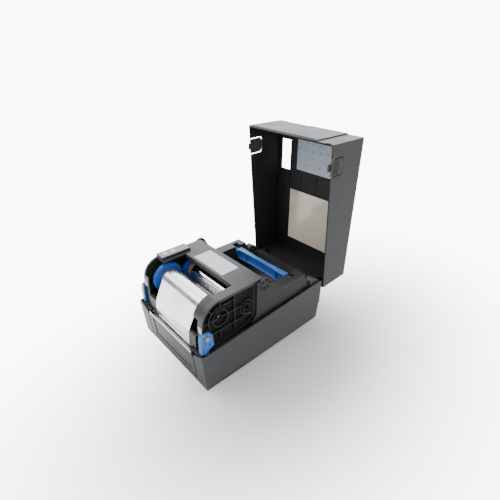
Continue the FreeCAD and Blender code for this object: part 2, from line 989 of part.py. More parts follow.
def leaning(span, back, thick, low, high):
    """A sheet that lies behind the leaning front face, a given way back from it."""
    return slab("x", span, [
        (front_face(low) + back, low),
        (front_face(high) + back, high),
        (front_face(high) + back + thick, high),
        (front_face(low) + back + thick, low),
    ])


def make_front_panel():
    wide = (-d.bezel_half, d.bezel_half)
    panel = leaning(wide, 0, d.wall, d.bezel_bottom, d.bezel_top)
    top_shelf = block(
        (-d.bezel_half + d.bezel_groove, d.bezel_half - d.bezel_groove),
        (front_face(d.bezel_top) - d.running_gap, d.tear_shelf_rear),
        (d.bezel_top - d.wall, d.tear_bar_bottom),
    )
    behind = d.bezel_half + d.bezel_margin
    flange = leaning(
        (-behind, behind), d.wall, d.frame_thick,
        d.bezel_bottom - d.bezel_groove * 2, d.bezel_top,
    )
    inset = d.bezel_margin
    recess_outline = slab("y", (-d.wall, d.case_width / 4), [
        (-d.bezel_half + 2 * inset, d.bezel_bottom + inset),
        (d.bezel_half - 1.4 * inset, d.bezel_bottom + inset),
        (d.bezel_half - inset, d.bezel_top - inset / 3),
        (-d.bezel_half + 1.6 * inset, d.bezel_top - inset / 3),
    ])
    recess = common(recess_outline, leaning(wide, -d.wall, d.wall + d.bezel_recess, 0, d.rim_front))
    node("front_bezel", cut(join(panel, top_shelf, flange), recess))

    bar_front = front_face(d.tear_bar_bottom)
    bar = slab("x", (-d.tear_bar_half, d.tear_bar_half), [
        (bar_front, d.tear_bar_bottom),
        (bar_front, d.tear_bar_top),
        (bar_front + d.tear_bar_edge, d.tear_bar_top),
        (d.tear_bar_rear, d.tear_bar_rear_top),
        (d.tear_bar_rear, d.tear_bar_bottom),
    ])
    node("tear_bar", bar)


# Inner housing: deck, label bay, side boxes, hinge cheeks of the print-head module
bay_floor = place("bay_floor", d.head_rib_bottom - 5 * d.wall)
bay_axis_z = place("bay_axis_z", d.spindle_z)
housing_wall_in = place("housing_wall_in", d.housing_half - d.wall)
bay_half_out = place("bay_half_out", d.bay_half + d.wall)
bay_wall_front = place("bay_wall_front", d.bay_front - d.wall)


def on_bay(radius, z):
    """How far in front of the spindle a cylinder about it stands at a height."""
    drop = bay_axis_z - z
    return root(radius * radius - drop * drop)


hub_face = place("hub_face", d.housing_half + d.hub_thick / 6)
pin_end = place("pin_end", hub_face - d.hub_recess_depth - d.running_gap * 4)


def hub_spoke(angle):
    """One bar across the ring of holes in a hub disc, turned about its middle."""
    across = d.hub_spoke / 2
    reach = d.hub_radius
    turn = Size(angle)
    corners = []
    for out, side in ((-1, -1), (1, -1), (1, 1), (-1, 1)):
        along, beside = reach * out, across * side
        corners.append((
            d.module_pivot_y + along * cosine(turn) - beside * sine(turn),
            d.module_pivot_z + along * sine(turn) + beside * cosine(turn),
        ))
    return slab("x", (housing_wall_in, hub_face + d.skin), corners)


def make_inner_housing():
    outer_floor = bay_floor - d.wall
    reach_in = on_bay(d.bay_radius, bay_floor)
    reach_out = on_bay(d.bay_radius + d.wall, outer_floor)
    lip_in = on_bay(d.bay_radius, d.bay_lip)
    lip_out = on_bay(d.bay_radius + d.wall, d.bay_lip - d.wall)
    side = [
        (bay_wall_front, deck_bottom),
        (bay_wall_front, d.bay_front_top),
        (d.brow_y, d.bay_front_top),
        (d.housing_dip_y, d.housing_top),
        (d.housing_back_y, d.housing_top),
        (d.housing_end_y, d.housing_end_z),
        (d.housing_end_y, deck_bottom),
    ]
    wide = slab("x", (-d.housing_half, d.housing_half), side)
    tub = slab("x", (-bay_half_out, bay_half_out), [
        (bay_wall_front, outer_floor),
        (bay_wall_front, d.bay_front_top),
        (d.housing_end_y, d.bay_lip),
        (d.bay_rear, d.bay_lip),
        (d.bay_rear, d.bay_lip - d.wall),
        (d.spindle_y + lip_out, d.bay_lip - d.wall),
        Via(d.spindle_y, bay_axis_z - d.bay_radius - d.wall),
        (d.spindle_y - reach_out, outer_floor),
    ])
    high = d.module_top + d.wall
    bay = slab("x", (-d.bay_half, d.bay_half), [
        (d.bay_front, bay_floor),
        (d.bay_front, high),
        (d.case_depth, high),
        (d.case_depth, d.bay_lip),
        (d.spindle_y + lip_in, d.bay_lip),
        Via(d.spindle_y, bay_axis_z - d.bay_radius),
        (d.spindle_y - reach_in, bay_floor),
    ])
    hollow = slab("x", (bay_half_out, housing_wall_in), [
        (d.bay_front, bay_floor),
        (d.bay_front, d.bay_front_top - d.wall),
        (d.brow_y - d.wall / 2, d.bay_front_top - d.wall),
        (d.housing_dip_y - d.wall / 2, d.housing_top - d.wall),
        (d.housing_back_y - d.wall, d.housing_top - d.wall),
        (d.housing_end_y - d.wall, d.housing_end_z),
        (d.housing_end_y - d.wall, bay_floor),
    ])
    deck = cut(
        block(
            (-inner_half + d.deck_gap, inner_half - d.deck_gap),
            (d.deck_front, d.hump_front - d.side_gap),
            (deck_bottom, d.deck_top),
        ),
        block(
            (-d.deck_opening_half, d.deck_opening_half),
            (0, d.deck_opening_rear),
            (bay_floor, d.rim_rear),
        ),
        *both(lever_slot()),
    )
    cheek_top = d.module_pivot_z + d.hub_radius * 2 / 3
    cheek = slab("x", (housing_wall_in, d.housing_half), [
        (d.housing_foot_y, deck_bottom),
        (d.housing_foot_y, d.deck_top),
        (d.housing_front, d.housing_slant_z),
        (d.housing_front, cheek_top),
        (d.module_pivot_y, cheek_top),
        (d.module_pivot_y + d.hub_radius * 0.85, d.module_pivot_z - d.hub_radius / 3),
        (d.brow_y, d.bay_front_top),
        (d.brow_y, deck_bottom),
    ])
    pivot = (d.module_pivot_y, d.module_pivot_z)
    hub = rod("x", pivot, (hub_face - d.hub_thick, hub_face), d.hub_radius)
    sunk = (hub_face - d.hub_recess_depth, hub_face + d.wall)
    ring = tube("x", pivot, sunk, d.hub_recess_outer, d.hub_recess_inner)
    oval_holes = cut(ring, *[hub_spoke(angle) for angle in (45.0, 105.0, 165.0)])
    cup_spot = (d.module_pivot_y, d.module_pivot_z - d.hub_cup_drop)
    cup = cut(
        tube("x", cup_spot, sunk, d.hub_cup_outer, d.hub_cup_inner),
        block(sunk, (cup_spot[0] - d.hub_cup_outer, cup_spot[0] + d.hub_cup_outer),
              (cup_spot[1] + d.hub_cup_inner / 2, cup_spot[1] + 2 * d.hub_cup_outer)),
    )
    pin_hole = rod("x", pivot, (d.wall_right, pin_end), d.pivot_pin_radius)
    cheeks = cut(join(cheek, hub), oval_holes, cup, pin_hole)
    post = cut(
        join(*[
            rod("z", (x, y), (d.post_foot, top), d.post_radius)
            for (x, y), top in (
                ((d.post_x, d.post_front_y), deck_bottom + d.wall / 2),
                ((d.post_x, d.post_rear_y), d.housing_end_z),
            )
        ]),
        *[
            rod("z", (d.post_x, y), (0, d.post_foot + d.foot_height * 4), d.screw_radius)
            for y in (d.post_front_y, d.post_rear_y)
        ],
    )
    pocket = block(
        (d.bay_half + d.wall / 2, d.slot_end + d.wall),
        (d.spindle_y - d.slot_half - d.wall, d.spindle_y + d.slot_half + d.wall),
        (journal_bottom - d.wall, d.housing_top - d.wall / 2),
    )
    slot = block(
        (d.bay_half - d.wall, d.slot_end),
        (d.spindle_y - d.slot_half, d.spindle_y + d.slot_half),
        (journal_bottom, d.housing_top + d.wall),
    )
    paper_slot = block(
        (-d.paper_slot_half, d.paper_slot_half),
        (bay_wall_front - d.wall, d.bay_front + d.wall),
        (d.paper_slot_bottom, d.paper_slot_top),
    )
    shell = cut(join(wide, tub, deck), bay, *both(hollow))
    full = join(shell, *both(cheeks), *both(pocket), *both(post))
    node("inner_housing", cut(full, paper_slot, *both(slot)))

    pin = rod("x", pivot, (d.wall_right, pin_end), d.pivot_pin_radius)
    PINS.extend(both(pin))


journal_bottom = place("journal_bottom", d.spindle_z - d.journal_half)


def lever_slot():
    """Slot in the deck through which a release lever's hook reaches its keeper."""
    middle = d.module_half + d.lever_thick * 0.6
    return block(
        (middle - d.lever_thick / 2, middle + d.lever_thick / 2),
        (d.lever_front_y, d.lever_rear_y + d.wall),
        (bay_floor, d.rim_rear),
    )


def make_label_spindle():
    y, z = d.spindle_y, d.spindle_z
    top, bottom = z + d.spindle_rise, z - d.spindle_rise

    def flange(low):
        """A waisted strip that is narrowest in the middle."""
        return slab("z", (low, low + d.spindle_skin), [
            (d.spindle_half, y - d.spindle_top_half),
            Via(0, y - d.spindle_waist_half),
            (-d.spindle_half, y - d.spindle_top_half),
            (-d.spindle_half, y + d.spindle_top_half),
            Via(0, y + d.spindle_waist_half),
            (d.spindle_half, y + d.spindle_top_half),
        ])

    web_half = d.spindle_skin / 2
    inside = (bottom + web_half, top - web_half)
    web = block((-d.spindle_half, d.spindle_half), (y - web_half, y + web_half), inside)
    end_rib = d.spindle_half - web_half
    ribs = [
        block((x - web_half, x + web_half), (y - d.spindle_waist_half, y + d.spindle_waist_half),
              inside)
        for x in (-end_rib, -d.spindle_rib_place, d.spindle_rib_place, end_rib)
    ]
    journal = block(
        (d.spindle_half - d.spindle_skin, d.journal_end),
        (y - d.journal_half, y + d.journal_half),
        (journal_bottom, journal_bottom + 2 * d.journal_half),
    )
    spindle = join(flange(top - d.spindle_skin), flange(bottom), web, *ribs, *both(journal))
    node("label_spindle", spindle)


# Print-head module that swings up about the pins behind it
rewind = (d.rewind_y, d.rewind_z)
supply = (d.supply_y, d.supply_z)
face_y = place("face_y", d.rewind_y - d.nose_radius)
plate_under = place("plate_under", d.module_top - d.skin)
wall_out_right = place("wall_out_right", d.wall_right + d.skin)
wall_out_left = place("wall_out_left", d.wall_left + d.skin)
tray_top = place("tray_top", d.tray_bottom + d.skin)


def about(centre, radius, angle):
    """A point on a circle, its angle counted from the front and up."""
    return centre[0] - radius * cosine(angle), centre[1] + radius * sine(angle)


def curved_strip(centre, span, radius, thick, low, high):
    """A strip of a round wall between two angles."""
    low, high = as_size(low), as_size(high)
    middle = (low + high) / 2
    inner = radius - thick
    return slab("x", span, [
        about(centre, radius, low),
        Via(*about(centre, radius, middle)),
        about(centre, radius, high),
        about(centre, inner, high),
        Via(*about(centre, inner, middle)),
        about(centre, inner, low),
    ])


def straight_strip(span, start, end, thick):
    """A thin straight wall from one point to another."""
    run, rise = end[0] - start[0], end[1] - start[1]
    length = root(run * run + rise * rise)
    off_y, off_z = rise / length * thick / 2, run / length * thick / 2
    return slab("x", span, [
        (start[0] + off_y, start[1] - off_z),
        (end[0] + off_y, end[1] - off_z),
        (end[0] - off_y, end[1] + off_z),
        (start[0] - off_y, start[1] + off_z),
    ])


def lower_edge(y):
    """Height of the module's lower edge at a distance from the front."""
    return d.module_bottom - d.module_edge_drop + (y - d.rewind_y) / d.module_edge_run


def module_wall(span):
    return slab("x", span, [
        about(rewind, d.nose_radius, Size(0.0)),
        Via(*about(rewind, d.nose_radius, Size(45.0))),
        (d.rewind_y, d.module_top),
        (d.side_rear, d.module_top),
        (d.side_rear, lower_edge(d.side_rear)),
        (d.lever_rear_y, lower_edge(d.lever_rear_y)),
        (d.lever_rear_y - d.skin, d.module_bottom),
        (face_y, d.module_bottom),
    ])


def side_ribs(span):
    """Stiffening ribs moulded on the outside of a side wall."""
    t = d.rib_thick
    bars = [
        block(span, (d.post_front + d.post_depth, d.beam_rib_rear), (d.rib_middle - t, d.rib_middle)),
        block(span, (d.lever_rear_y, d.rib_low_rear), (d.rib_low - t, d.rib_low)),
        block(span, (d.rewind_y, d.rib_post_y), (d.rib_high - t, d.rib_high)),
        block(span, (d.rib_post_y, d.rib_post_y + t), (d.tray_bottom, d.lip_bottom)),
        block(span, (d.rewind_y - t / 2, d.rewind_y + t / 2), (d.rib_high - t, d.lip_bottom)),
        block(span, (d.rewind_y - t, d.rewind_y), (d.tray_bottom, d.rib_low)),
        straight_strip(
            span,
            (d.lever_rear_y, lower_edge(d.lever_rear_y) + t),
            (d.side_rear - 2 * d.rib_thick, lower_edge(d.side_rear) + t), 2 * t,
        ),
        straight_strip(
            span,
            about(rewind, d.nose_radius - d.rim_thick, d.spoke_rib_angle),
            about(rewind, d.arc_radius - t / 2, d.spoke_rib_angle), t,
        ),
        tube("x", rewind, span, d.ring_radius, d.ring_radius - t),
        curved_strip(rewind, span, d.arc_radius, t, d.arc_rib_low, d.arc_rib_high),
        curved_strip(rewind, span, d.ring_radius + d.short_arc_gap, t,
                     d.short_arc_low, d.short_arc_high),
        tube("x", supply, span, d.disc_radius, d.disc_radius - t),
        tube("x", supply, span, d.disc_radius / 2, d.disc_radius / 2 - t),
    ]
    side, drop = d.hook_rib_side, d.hook_rib_drop
    hook_rib = [
        (d.supply_y - side, d.supply_z),
        (d.supply_y - side / 2, d.supply_z - drop),
        (d.supply_y + side, d.supply_z - drop * 4 / 3),
        (d.supply_y + side * 4 / 3, d.supply_z - drop * 7 / 3),
        (d.supply_y, d.supply_z - drop * 8 / 3),
    ]
    for start, end in zip(hook_rib, hook_rib[1:]):
        bars.append(straight_strip(span, start, end, t))
    return bars


def make_module_frame():
    half = d.module_half
    right = (wall_out_right - d.skin, wall_out_right)
    left = (-wall_out_left, -wall_out_left + d.skin)
    pieces = [module_wall(right), module_wall(left)]
    # Rims and front faces
    rim_right = (d.right_face_end, half)
    pieces += [
        curved_strip(rewind, rim_right, d.nose_radius, d.rim_thick, 0, 90),
        curved_strip(rewind, (d.rim_inner, d.right_face_end), d.nose_radius, d.rim_thick,
                     d.rim_foot_angle, 90),
        curved_strip(rewind, (-half, -d.wall_left), d.nose_radius, d.rim_thick, 0, 90),
        curved_strip(rewind, (-d.wall_left, -d.left_face_end), d.nose_radius, d.rim_thick,
                     0, d.left_face_angle),
        block(rim_right, (face_y, face_y + d.rim_thick), (d.module_bottom, d.rewind_z)),
        block((-half, -d.left_face_end), (face_y, face_y + d.rim_thick),
              (d.module_bottom, d.rewind_z)),
    ]
    ridge_span = (d.rim_inner + d.rib_thick, d.right_face_end - d.rib_thick)
    for number in range(int(SIZES["ridge_count"])):
        low = d.ridge_first + d.ridge_step * number
        pieces.append(curved_strip(
            rewind, ridge_span, d.nose_radius + d.grip_ridge, d.grip_ridge + d.rim_thick / 2,
            low, low + d.ridge_step / 2,
        ))
    # Top plates with the lip along the window
    left_top_z = d.rewind_z + root(
        d.nose_radius * d.nose_radius
        - (d.rewind_y - d.left_plate_front) * (d.rewind_y - d.left_plate_front)
    )
    pieces += [
        slab("x", (-half, -d.window_left), [
            (d.left_plate_front, left_top_z - d.skin),
            (d.left_plate_front, left_top_z),
            Via(*about(rewind, d.nose_radius, Size(83.0))),
            (d.rewind_y, d.module_top),
            (d.plate_front, d.module_top),
            (d.plate_front, plate_under),
        ]),
        block((d.window_right, half), (d.rewind_y, d.plate_front), (plate_under, d.module_top)),
        block((-half, half), (d.plate_front, d.plate_rear), (plate_under, d.module_top)),
        block((-d.window_left, d.window_right), (d.plate_front, d.plate_front + d.skin),
              (d.module_top - d.lip_height, d.module_top)),
        block((half - d.skin, half), (d.rewind_y, d.side_rear), (d.lip_bottom, plate_under)),
    ]
    # Rear wall, corner skin, tray and the posts at the front
    pieces += [
        block((left[0], right[1]), (d.side_rear - d.skin, d.side_rear), (d.tray_bottom, plate_under)),
        slab("z", (lower_edge(d.side_rear), plate_under), [
            (wall_out_right, d.side_rear - 9 * d.skin),
            (half, d.side_rear - 6 * d.skin),
            (half, d.side_rear),
            (half - d.skin, d.side_rear),
            (half - d.skin, d.side_rear - 5.5 * d.skin),
            (wall_out_right - d.skin, d.side_rear - 8 * d.skin),
        ]),
        block((left[0], right[1]), (d.tray_front, d.side_rear), (d.tray_bottom, tray_top)),
    ]
    post_span = (d.post_inner, d.post_outer)
    post_y = (d.post_front, d.post_front + d.post_depth)
    for post in (
        block(post_span, post_y, (d.module_bottom - 4, d.post_top)),
        block((d.post_inner, d.post_foot_end), post_y, (d.post_foot_bottom, d.module_bottom)),
        block((d.post_inner, d.wall_right), (post_y[0] + d.skin, d.tray_front + d.skin),
              (d.tray_bottom, tray_top)),
        slab("x", (d.head_rib_inner, d.head_rib_inner + d.skin), [
            (d.head_front + d.skin, d.tray_bottom + d.skin / 2),
            (d.head_front + d.skin, d.head_rib_bottom),
            (d.rear_bar_y + 2 * d.bar_radius, d.head_rib_bottom),
            (d.rear_bar_y + 2 * d.bar_radius, d.tray_bottom + d.skin / 2),
        ]),
    ):
        pieces += both(post)
    pieces += side_ribs((wall_out_right - d.skin / 2, d.rib_tip))
    pieces += side_ribs((-half + d.rib_thick / 2, -wall_out_left + d.skin / 2))
    # Ears on the pivot pins, bearing bosses and the stub for the drive gear
    ear_low = d.module_pivot_z - d.ear_radius
    ear_high = d.module_pivot_z + d.ear_radius
    ear = slab("x", (d.wall_right, half), [
        (d.side_rear - 4 * d.skin, ear_low),
        (d.module_pivot_y, ear_low),
        Via(d.module_pivot_y + d.ear_radius, d.module_pivot_z),
        (d.module_pivot_y, ear_high),
        (d.side_rear - 4 * d.skin, ear_high),
    ])
    pieces += both(ear)
    screw_spot = (d.lever_y, d.lever_z)
    pieces += both(rod("x", screw_spot, (d.wall_right, half), d.lever_screw_radius + d.rib_thick))
    for axis in (rewind, supply):
        pieces.append(rod("x", axis, (d.wall_right, d.wall_right + 2.4 * d.skin), d.disc_radius / 2))
        pieces.append(rod("x", axis, (-half, -d.wall_left), d.disc_radius / 2))
    pieces.append(rod("x", drive_spot, (-wall_out_left, drive_end), drive_bore))
    holes = [
        rod("x", rewind, (-d.case_width, d.case_width), spool_bore),
        rod("x", supply, (-d.case_width, d.case_width), spool_bore),
        rod("x", (d.module_pivot_y, d.module_pivot_z), (-d.case_width, d.case_width),
            d.pivot_pin_radius + d.running_gap),
        rod("x", (d.front_bar_y, d.front_bar_z), (-d.bar_half, d.bar_half), d.bar_radius),
        rod("x", (d.nose_bar_y, d.nose_bar_z), (-d.bar_half, d.bar_half), d.nose_bar_radius),
        rod("x", (d.rear_bar_y, d.rear_bar_z), (-d.bar_half, d.bar_half), d.bar_radius),
        rod("x", bracket_pin, (-d.bar_half, d.bar_half), d.screw_radius),
        block((-d.film_half - d.skin, d.film_half + d.skin),
              (d.rear_bar_y + d.bar_radius, d.rear_bar_y + 8 * d.bar_radius),
              (d.tray_bottom - d.skin, tray_top + d.skin)),
        block((-gear_plane[1] - d.side_gap, -gear_plane[0] + d.side_gap),
              (drive_spot[0] - drive_tip - d.side_gap, drive_spot[0] + drive_tip + d.side_gap),
              (d.tray_bottom - d.skin, tray_top + d.skin)),
    ]
    holes += both(rod("x", screw_spot, (d.wall_right, half + d.wall), d.lever_shaft_radius))
    node("module_frame", cut(join(*pieces), *holes))


def make_bars_and_screws():
    bars = [
        rod("x", spot, (-d.bar_half, d.bar_half), radius)
        for spot, radius in (
            ((d.front_bar_y, d.front_bar_z), d.bar_radius),
            ((d.nose_bar_y, d.nose_bar_z), d.nose_bar_radius),
            ((d.rear_bar_y, d.rear_bar_z), d.bar_radius),
        )
    ]
    node("ribbon_guide_bars", *bars)
    spot = (d.lever_y, d.lever_z)
    head_seat = lever_out + d.running_gap
    head_end = head_seat + d.lever_screw_height
    screw = join(
        rod("x", spot, (d.wall_right, head_seat + d.running_gap), d.lever_shaft_radius),
        rod("x", spot, (head_seat, head_end), d.lever_screw_radius),
    )
    slot_half = d.rib_thick / 2
    driver_slot = block(
        (head_end - d.lever_screw_height / 2, head_end + 1),
        (d.lever_y - d.lever_screw_radius, d.lever_y + d.lever_screw_radius),
        (d.lever_z - slot_half, d.lever_z + slot_half),
    )
    node("lever_screws", *both(cut(screw, driver_slot)))


lever_in = place("lever_in", d.module_half + d.side_gap / 2)
lever_out = place("lever_out", lever_in + d.lever_thick)


def make_levers():
    y, z = d.lever_y, d.lever_z
    raised = (lever_out - d.rib_thick, lever_out + d.rib_thick)
    plate = slab("x", (lever_in, lever_out), [
        (d.lever_front_y, d.lever_bottom),
        (d.lever_front_y, d.lever_rear_z + d.lever_thick),
        (y - d.lever_radius, z),
        Via(y, z + d.lever_radius),
        (y + d.lever_radius, z),
        (d.lever_rear_y, d.lever_rear_z),
        (y - d.lever_thick, d.lever_bottom),
    ])
    flange_front, flange_rear = d.lever_front_y, d.lever_front_y + d.lever_flange_thick
    flange = slab("x", (d.lever_pull, lever_out), [
        (flange_front, d.lever_bottom),
        (flange_front, d.lever_flange_bend),
        (flange_front + d.lever_flange_lean, d.lever_flange_top),
        (flange_rear + d.lever_flange_lean, d.lever_flange_top),
        (flange_rear, d.lever_flange_bend),
        (flange_rear, d.lever_bottom),
    ])
    leg_foot = (d.lever_leg_y, d.lever_leg_z)
    border = (
        curved_strip((y, z), raised, d.lever_radius, d.rib_thick, 20, 180),
        straight_strip(raised, (y + d.lever_radius - d.rib_thick / 2, z),
                       (d.lever_rear_y - d.rib_thick / 2, d.lever_rear_z + d.rib_thick),
                       d.rib_thick),
        straight_strip(raised, (y, z), leg_foot, 2 * d.lever_leg_radius),
        rod("x", leg_foot, (lever_in, raised[1]), d.lever_leg_radius),
    )
    seat_radius = d.lever_screw_radius + d.rib_thick
    ring = tube("x", (y, z), raised, seat_radius + d.rib_thick, seat_radius)
    seat = rod("x", (y, z), (lever_out, raised[1] + 1), seat_radius)
    slit_half = d.rib_thick * 0.8
    slit = block((lever_in - 1, raised[1]), (d.lever_slit_y - slit_half, d.lever_slit_y + slit_half),
                 (d.lever_slit_low, d.lever_slit_high))
    claw_tip = d.keeper_y - d.keeper_radius - d.keeper_gap
    claw_low = d.lever_hook_bottom
    hook = slab("x", (lever_in + d.rib_thick, lever_out - d.rib_thick), [
        (claw_tip - d.lever_thick - d.rib_thick * 3, claw_low),
        (claw_tip, claw_low),
        (claw_tip, claw_low + d.rib_thick * 1.6),
        (claw_tip - d.rib_thick * 3, claw_low + d.rib_thick * 3),
        (claw_tip - d.rib_thick * 3, d.lever_bottom + d.lever_thick * 1.5),
        (claw_tip - d.lever_thick - d.rib_thick * 3, d.lever_bottom + d.lever_thick * 1.5),
    ])
    bore = rod("x", (y, z), (d.wall_right, half_width), d.lever_shaft_radius + d.running_gap)
    lever = cut(join(plate, flange, ring, hook, *border), bore, seat, slit)
    node("lever_left", mirrored(lever))
    node("lever_right", lever)


# Spools: geared hubs at the left, plain hubs at the right, film wound on hollow cores
spool_bore = place("spool_bore", d.spool_shaft_radius + d.running_gap)
gear_plane = (place("gear_near", d.core_half + d.side_gap * 2),
              place("gear_far", d.core_half + d.side_gap * 2 + d.spool_gear_width))
rewind_pitch = place("rewind_pitch", d.rewind_gear_radius - d.spool_tooth / 2)
drive_pitch = place("drive_pitch", rewind_pitch * d.drive_gear_teeth / d.rewind_gear_teeth)
drive_tip = place("drive_tip", drive_pitch + d.spool_tooth * 0.45)
drive_apart = place("drive_apart", rewind_pitch + drive_pitch + 2 * d.running_gap)
drive_spot = (
    place("drive_y", d.rewind_y + drive_apart * cosine(d.drive_gear_angle)),
    place("drive_z", d.rewind_z - drive_apart * sine(d.drive_gear_angle)),
)
drive_bore = place("drive_bore", d.spool_shaft_radius - d.side_gap)
drive_end = place("drive_end", -gear_plane[0] + d.side_gap)


def make_spool(name, axis, gear_radius, teeth, roll_radius, phase):
    """One spool: shaft, geared hub, core, wound film and the plain hub at the other end."""
    near, far = gear_plane
    shaft = rod("x", axis, (-wall_out_left + d.side_gap / 2, wall_out_right), d.spool_shaft_radius)
    node(name + "_shaft", shaft)
    wheel = toothed_wheel(
        axis, (-far, -near), gear_radius, gear_radius - d.spool_tooth, teeth, 0.6,
        d.spool_shaft_radius, phase,
    )
    boss = tube("x", axis, (-near - d.running_gap, -d.core_half), d.spool_flange_radius,
                d.spool_shaft_radius)
    sleeve_end = -d.core_half + d.core_bore
    sleeve = tube("x", axis, (-near, sleeve_end), d.core_bore, d.spool_shaft_radius)
    node(name + "_gear", join(wheel, boss, sleeve))
    core = tube("x", axis, (-d.core_half, d.core_half), d.core_radius, d.core_bore)
    notch = block(
        (-d.core_half - d.side_gap, -d.core_half + d.ring_radius / 4),
        (axis[0] - d.rib_thick * 1.5, axis[0] + d.rib_thick * 1.5),
        (axis[1] + d.core_bore - d.side_gap, axis[1] + d.core_radius + d.side_gap),
    )
    node(name + "_core", cut(core, notch))
    node(name + "_film", tube("x", axis, (-d.film_half, d.film_half), roll_radius, d.core_radius))
    flange_end = d.core_half + d.spool_flange_thick
    hub = join(
        tube("x", axis, (d.core_half - d.core_bore, d.core_half + d.side_gap), d.core_bore,
             d.spool_shaft_radius),
        tube("x", axis, (d.core_half, flange_end), d.spool_flange_radius, d.spool_shaft_radius),
        tube("x", axis, (flange_end - d.side_gap, d.wall_right - d.side_gap * 2),
             d.disc_radius * 0.6, d.spool_shaft_radius),
    )
    node(name + "_hub", hub)


def make_spools():
    make_spool("rewind", rewind, d.rewind_gear_radius, d.rewind_gear_teeth,
               d.rewind_roll_radius, -d.drive_gear_angle)
    make_spool("supply", supply, d.supply_gear_radius, d.supply_gear_teeth,
               d.supply_roll_radius, Size(0.0))
    near, far = gear_plane
    half_step = 180 / d.drive_gear_teeth
    wheel = toothed_wheel(
        drive_spot, (-far, -near), drive_tip, drive_pitch - d.spool_tooth * 0.55,
        d.drive_gear_teeth, 0.6, drive_bore + d.running_gap, 180 - d.drive_gear_angle + half_step,
    )
    node("rewind_drive_gear", wheel)


# Ribbon: one thin band from the supply roll, under the head and up to the rewind roll
def band(stops, span, thickness):
    """A thin band pulled tight round round stops, each with centre, radius and side."""
    runs = []
    for (one, first, side), (two, second, other) in zip(stops, stops[1:]):
        step = two - one
        turn = math.asin((other * second - side * first) / step.Length)
        heading = math.atan2(step.y, step.x) - turn
        normal = Vector(-math.sin(heading), math.cos(heading), 0)
        runs.append((one - normal * side * first, two - normal * other * second, normal))
    edges = []
    outline = []
    for side in (thickness / 2, -thickness / 2):
        path = []
        for number, (start, end, normal) in enumerate(runs):
            start, end = start + normal * side, end + normal * side
            if number:
                centre = stops[number][0]
                bisector = (path[-1][1] + start) / 2 - centre
                via = centre + bisector.normalize() * (start - centre).Length
                path.append((path[-1][1], start, via))
            path.append((start, end, None))
        outline.append(path)
    for path in outline:
        for start, end, via in path:
            if via is None:
                edges.append(Part.LineSegment(start, end).toShape())
            else:
                edges.append(Part.Arc(start, via, end).toShape())
    for end in (0, -1):
        corner = 0 if end == 0 else 1
        ends = (outline[0][end][corner], outline[1][end][corner])
        edges.append(Part.LineSegment(*ends).toShape())
    face = Part.Face(Part.Wire(Part.__sortEdges__(edges)))
    solid = face.extrude(Vector(0, 0, span[1] - span[0]))
    solid.Placement = Placement(Vector(span[0], 0, 0), TURN["x"])
    return solid


def make_ribbon():
    half = d.web_thick / 2 + d.running_gap

    def stop(spot, radius, side):
        return Vector(as_size(spot[0]).value, as_size(spot[1]).value, 0), (radius + half).value, side

    edge = d.ceramic_thick
    ceramic_bottom = d.platen_z + d.platen_radius + d.head_gap
    route = [
        stop(rewind, d.rewind_roll_radius, 1),
        stop((d.front_bar_y, d.front_bar_z), d.bar_radius, 1),
        stop((d.nose_bar_y, d.nose_bar_z), d.nose_bar_radius, 1),
        stop((d.head_front, ceramic_bottom + edge), edge, 1),
        stop((d.ceramic_rear, ceramic_bottom + edge), edge, 1),
        stop((d.rear_bar_y, d.rear_bar_z), d.bar_radius, 1),
        stop(supply, d.supply_roll_radius, -1),
    ]
    ribbon = doc.addObject("Part::Feature", "band")
    shape = band(route, (-d.film_half.value, d.film_half.value), d.web_thick.value)
    ribbon.Shape = shape
    node("ribbon_web", ribbon)


bracket_pin = (place("bracket_pin_y", d.head_rear - d.spring_radius),
               place("bracket_pin_z", d.head_top + d.spring_radius))


def make_print_head():
    low = d.platen_z + d.platen_radius + d.head_gap
    wide = (-d.head_half, d.head_half)
    ceramic_top = low + d.ceramic_thick
    node("print_head", block(wide, (d.head_front, d.ceramic_rear), (low, ceramic_top)))
    sink = slab("x", wide, [
        (d.head_front, ceramic_top),
        (d.ceramic_rear, ceramic_top),
        (d.head_rear, d.head_top - 6 * d.ceramic_thick),
        (d.head_rear, d.head_top),
        (d.head_front, d.head_top),
    ])
    grooves = [
        block((-d.head_half - 1, d.head_half + 1), (y, y + d.ceramic_thick * 2),
              (d.head_top - 3 * d.ceramic_thick, d.head_top + 1))
        for y in (d.head_front + d.skin + d.skin * 2 * step for step in range(5))
    ]
    node("heat_sink", cut(sink, *grooves))
    bracket_top = d.head_top + d.bracket_thick
    half = d.head_rib_inner - d.loose_gap
    plate = block((-half, half), (d.head_front + 2 * d.loose_gap, d.head_rear),
                  (d.head_top, bracket_top))
    ear = block((half - d.bracket_thick, half),
                (bracket_pin[0] - d.spring_radius, bracket_pin[0] + d.spring_radius),
                (d.head_top, bracket_pin[1] + d.spring_radius * 0.6))
    pin = rod("x", bracket_pin, (half - d.bracket_thick, d.bar_half), d.screw_radius)
    node("head_bracket", join(plate, *both(ear), *both(pin)))
    middle = (d.head_front + d.head_rear) / 2
    springs = [
        tube("z", (side * d.spring_place, middle), (bracket_top, d.tray_bottom),
             d.spring_radius, d.spring_radius - d.spring_wire)
        for side in (-1, 1)
    ]
    node("head_springs", *springs)


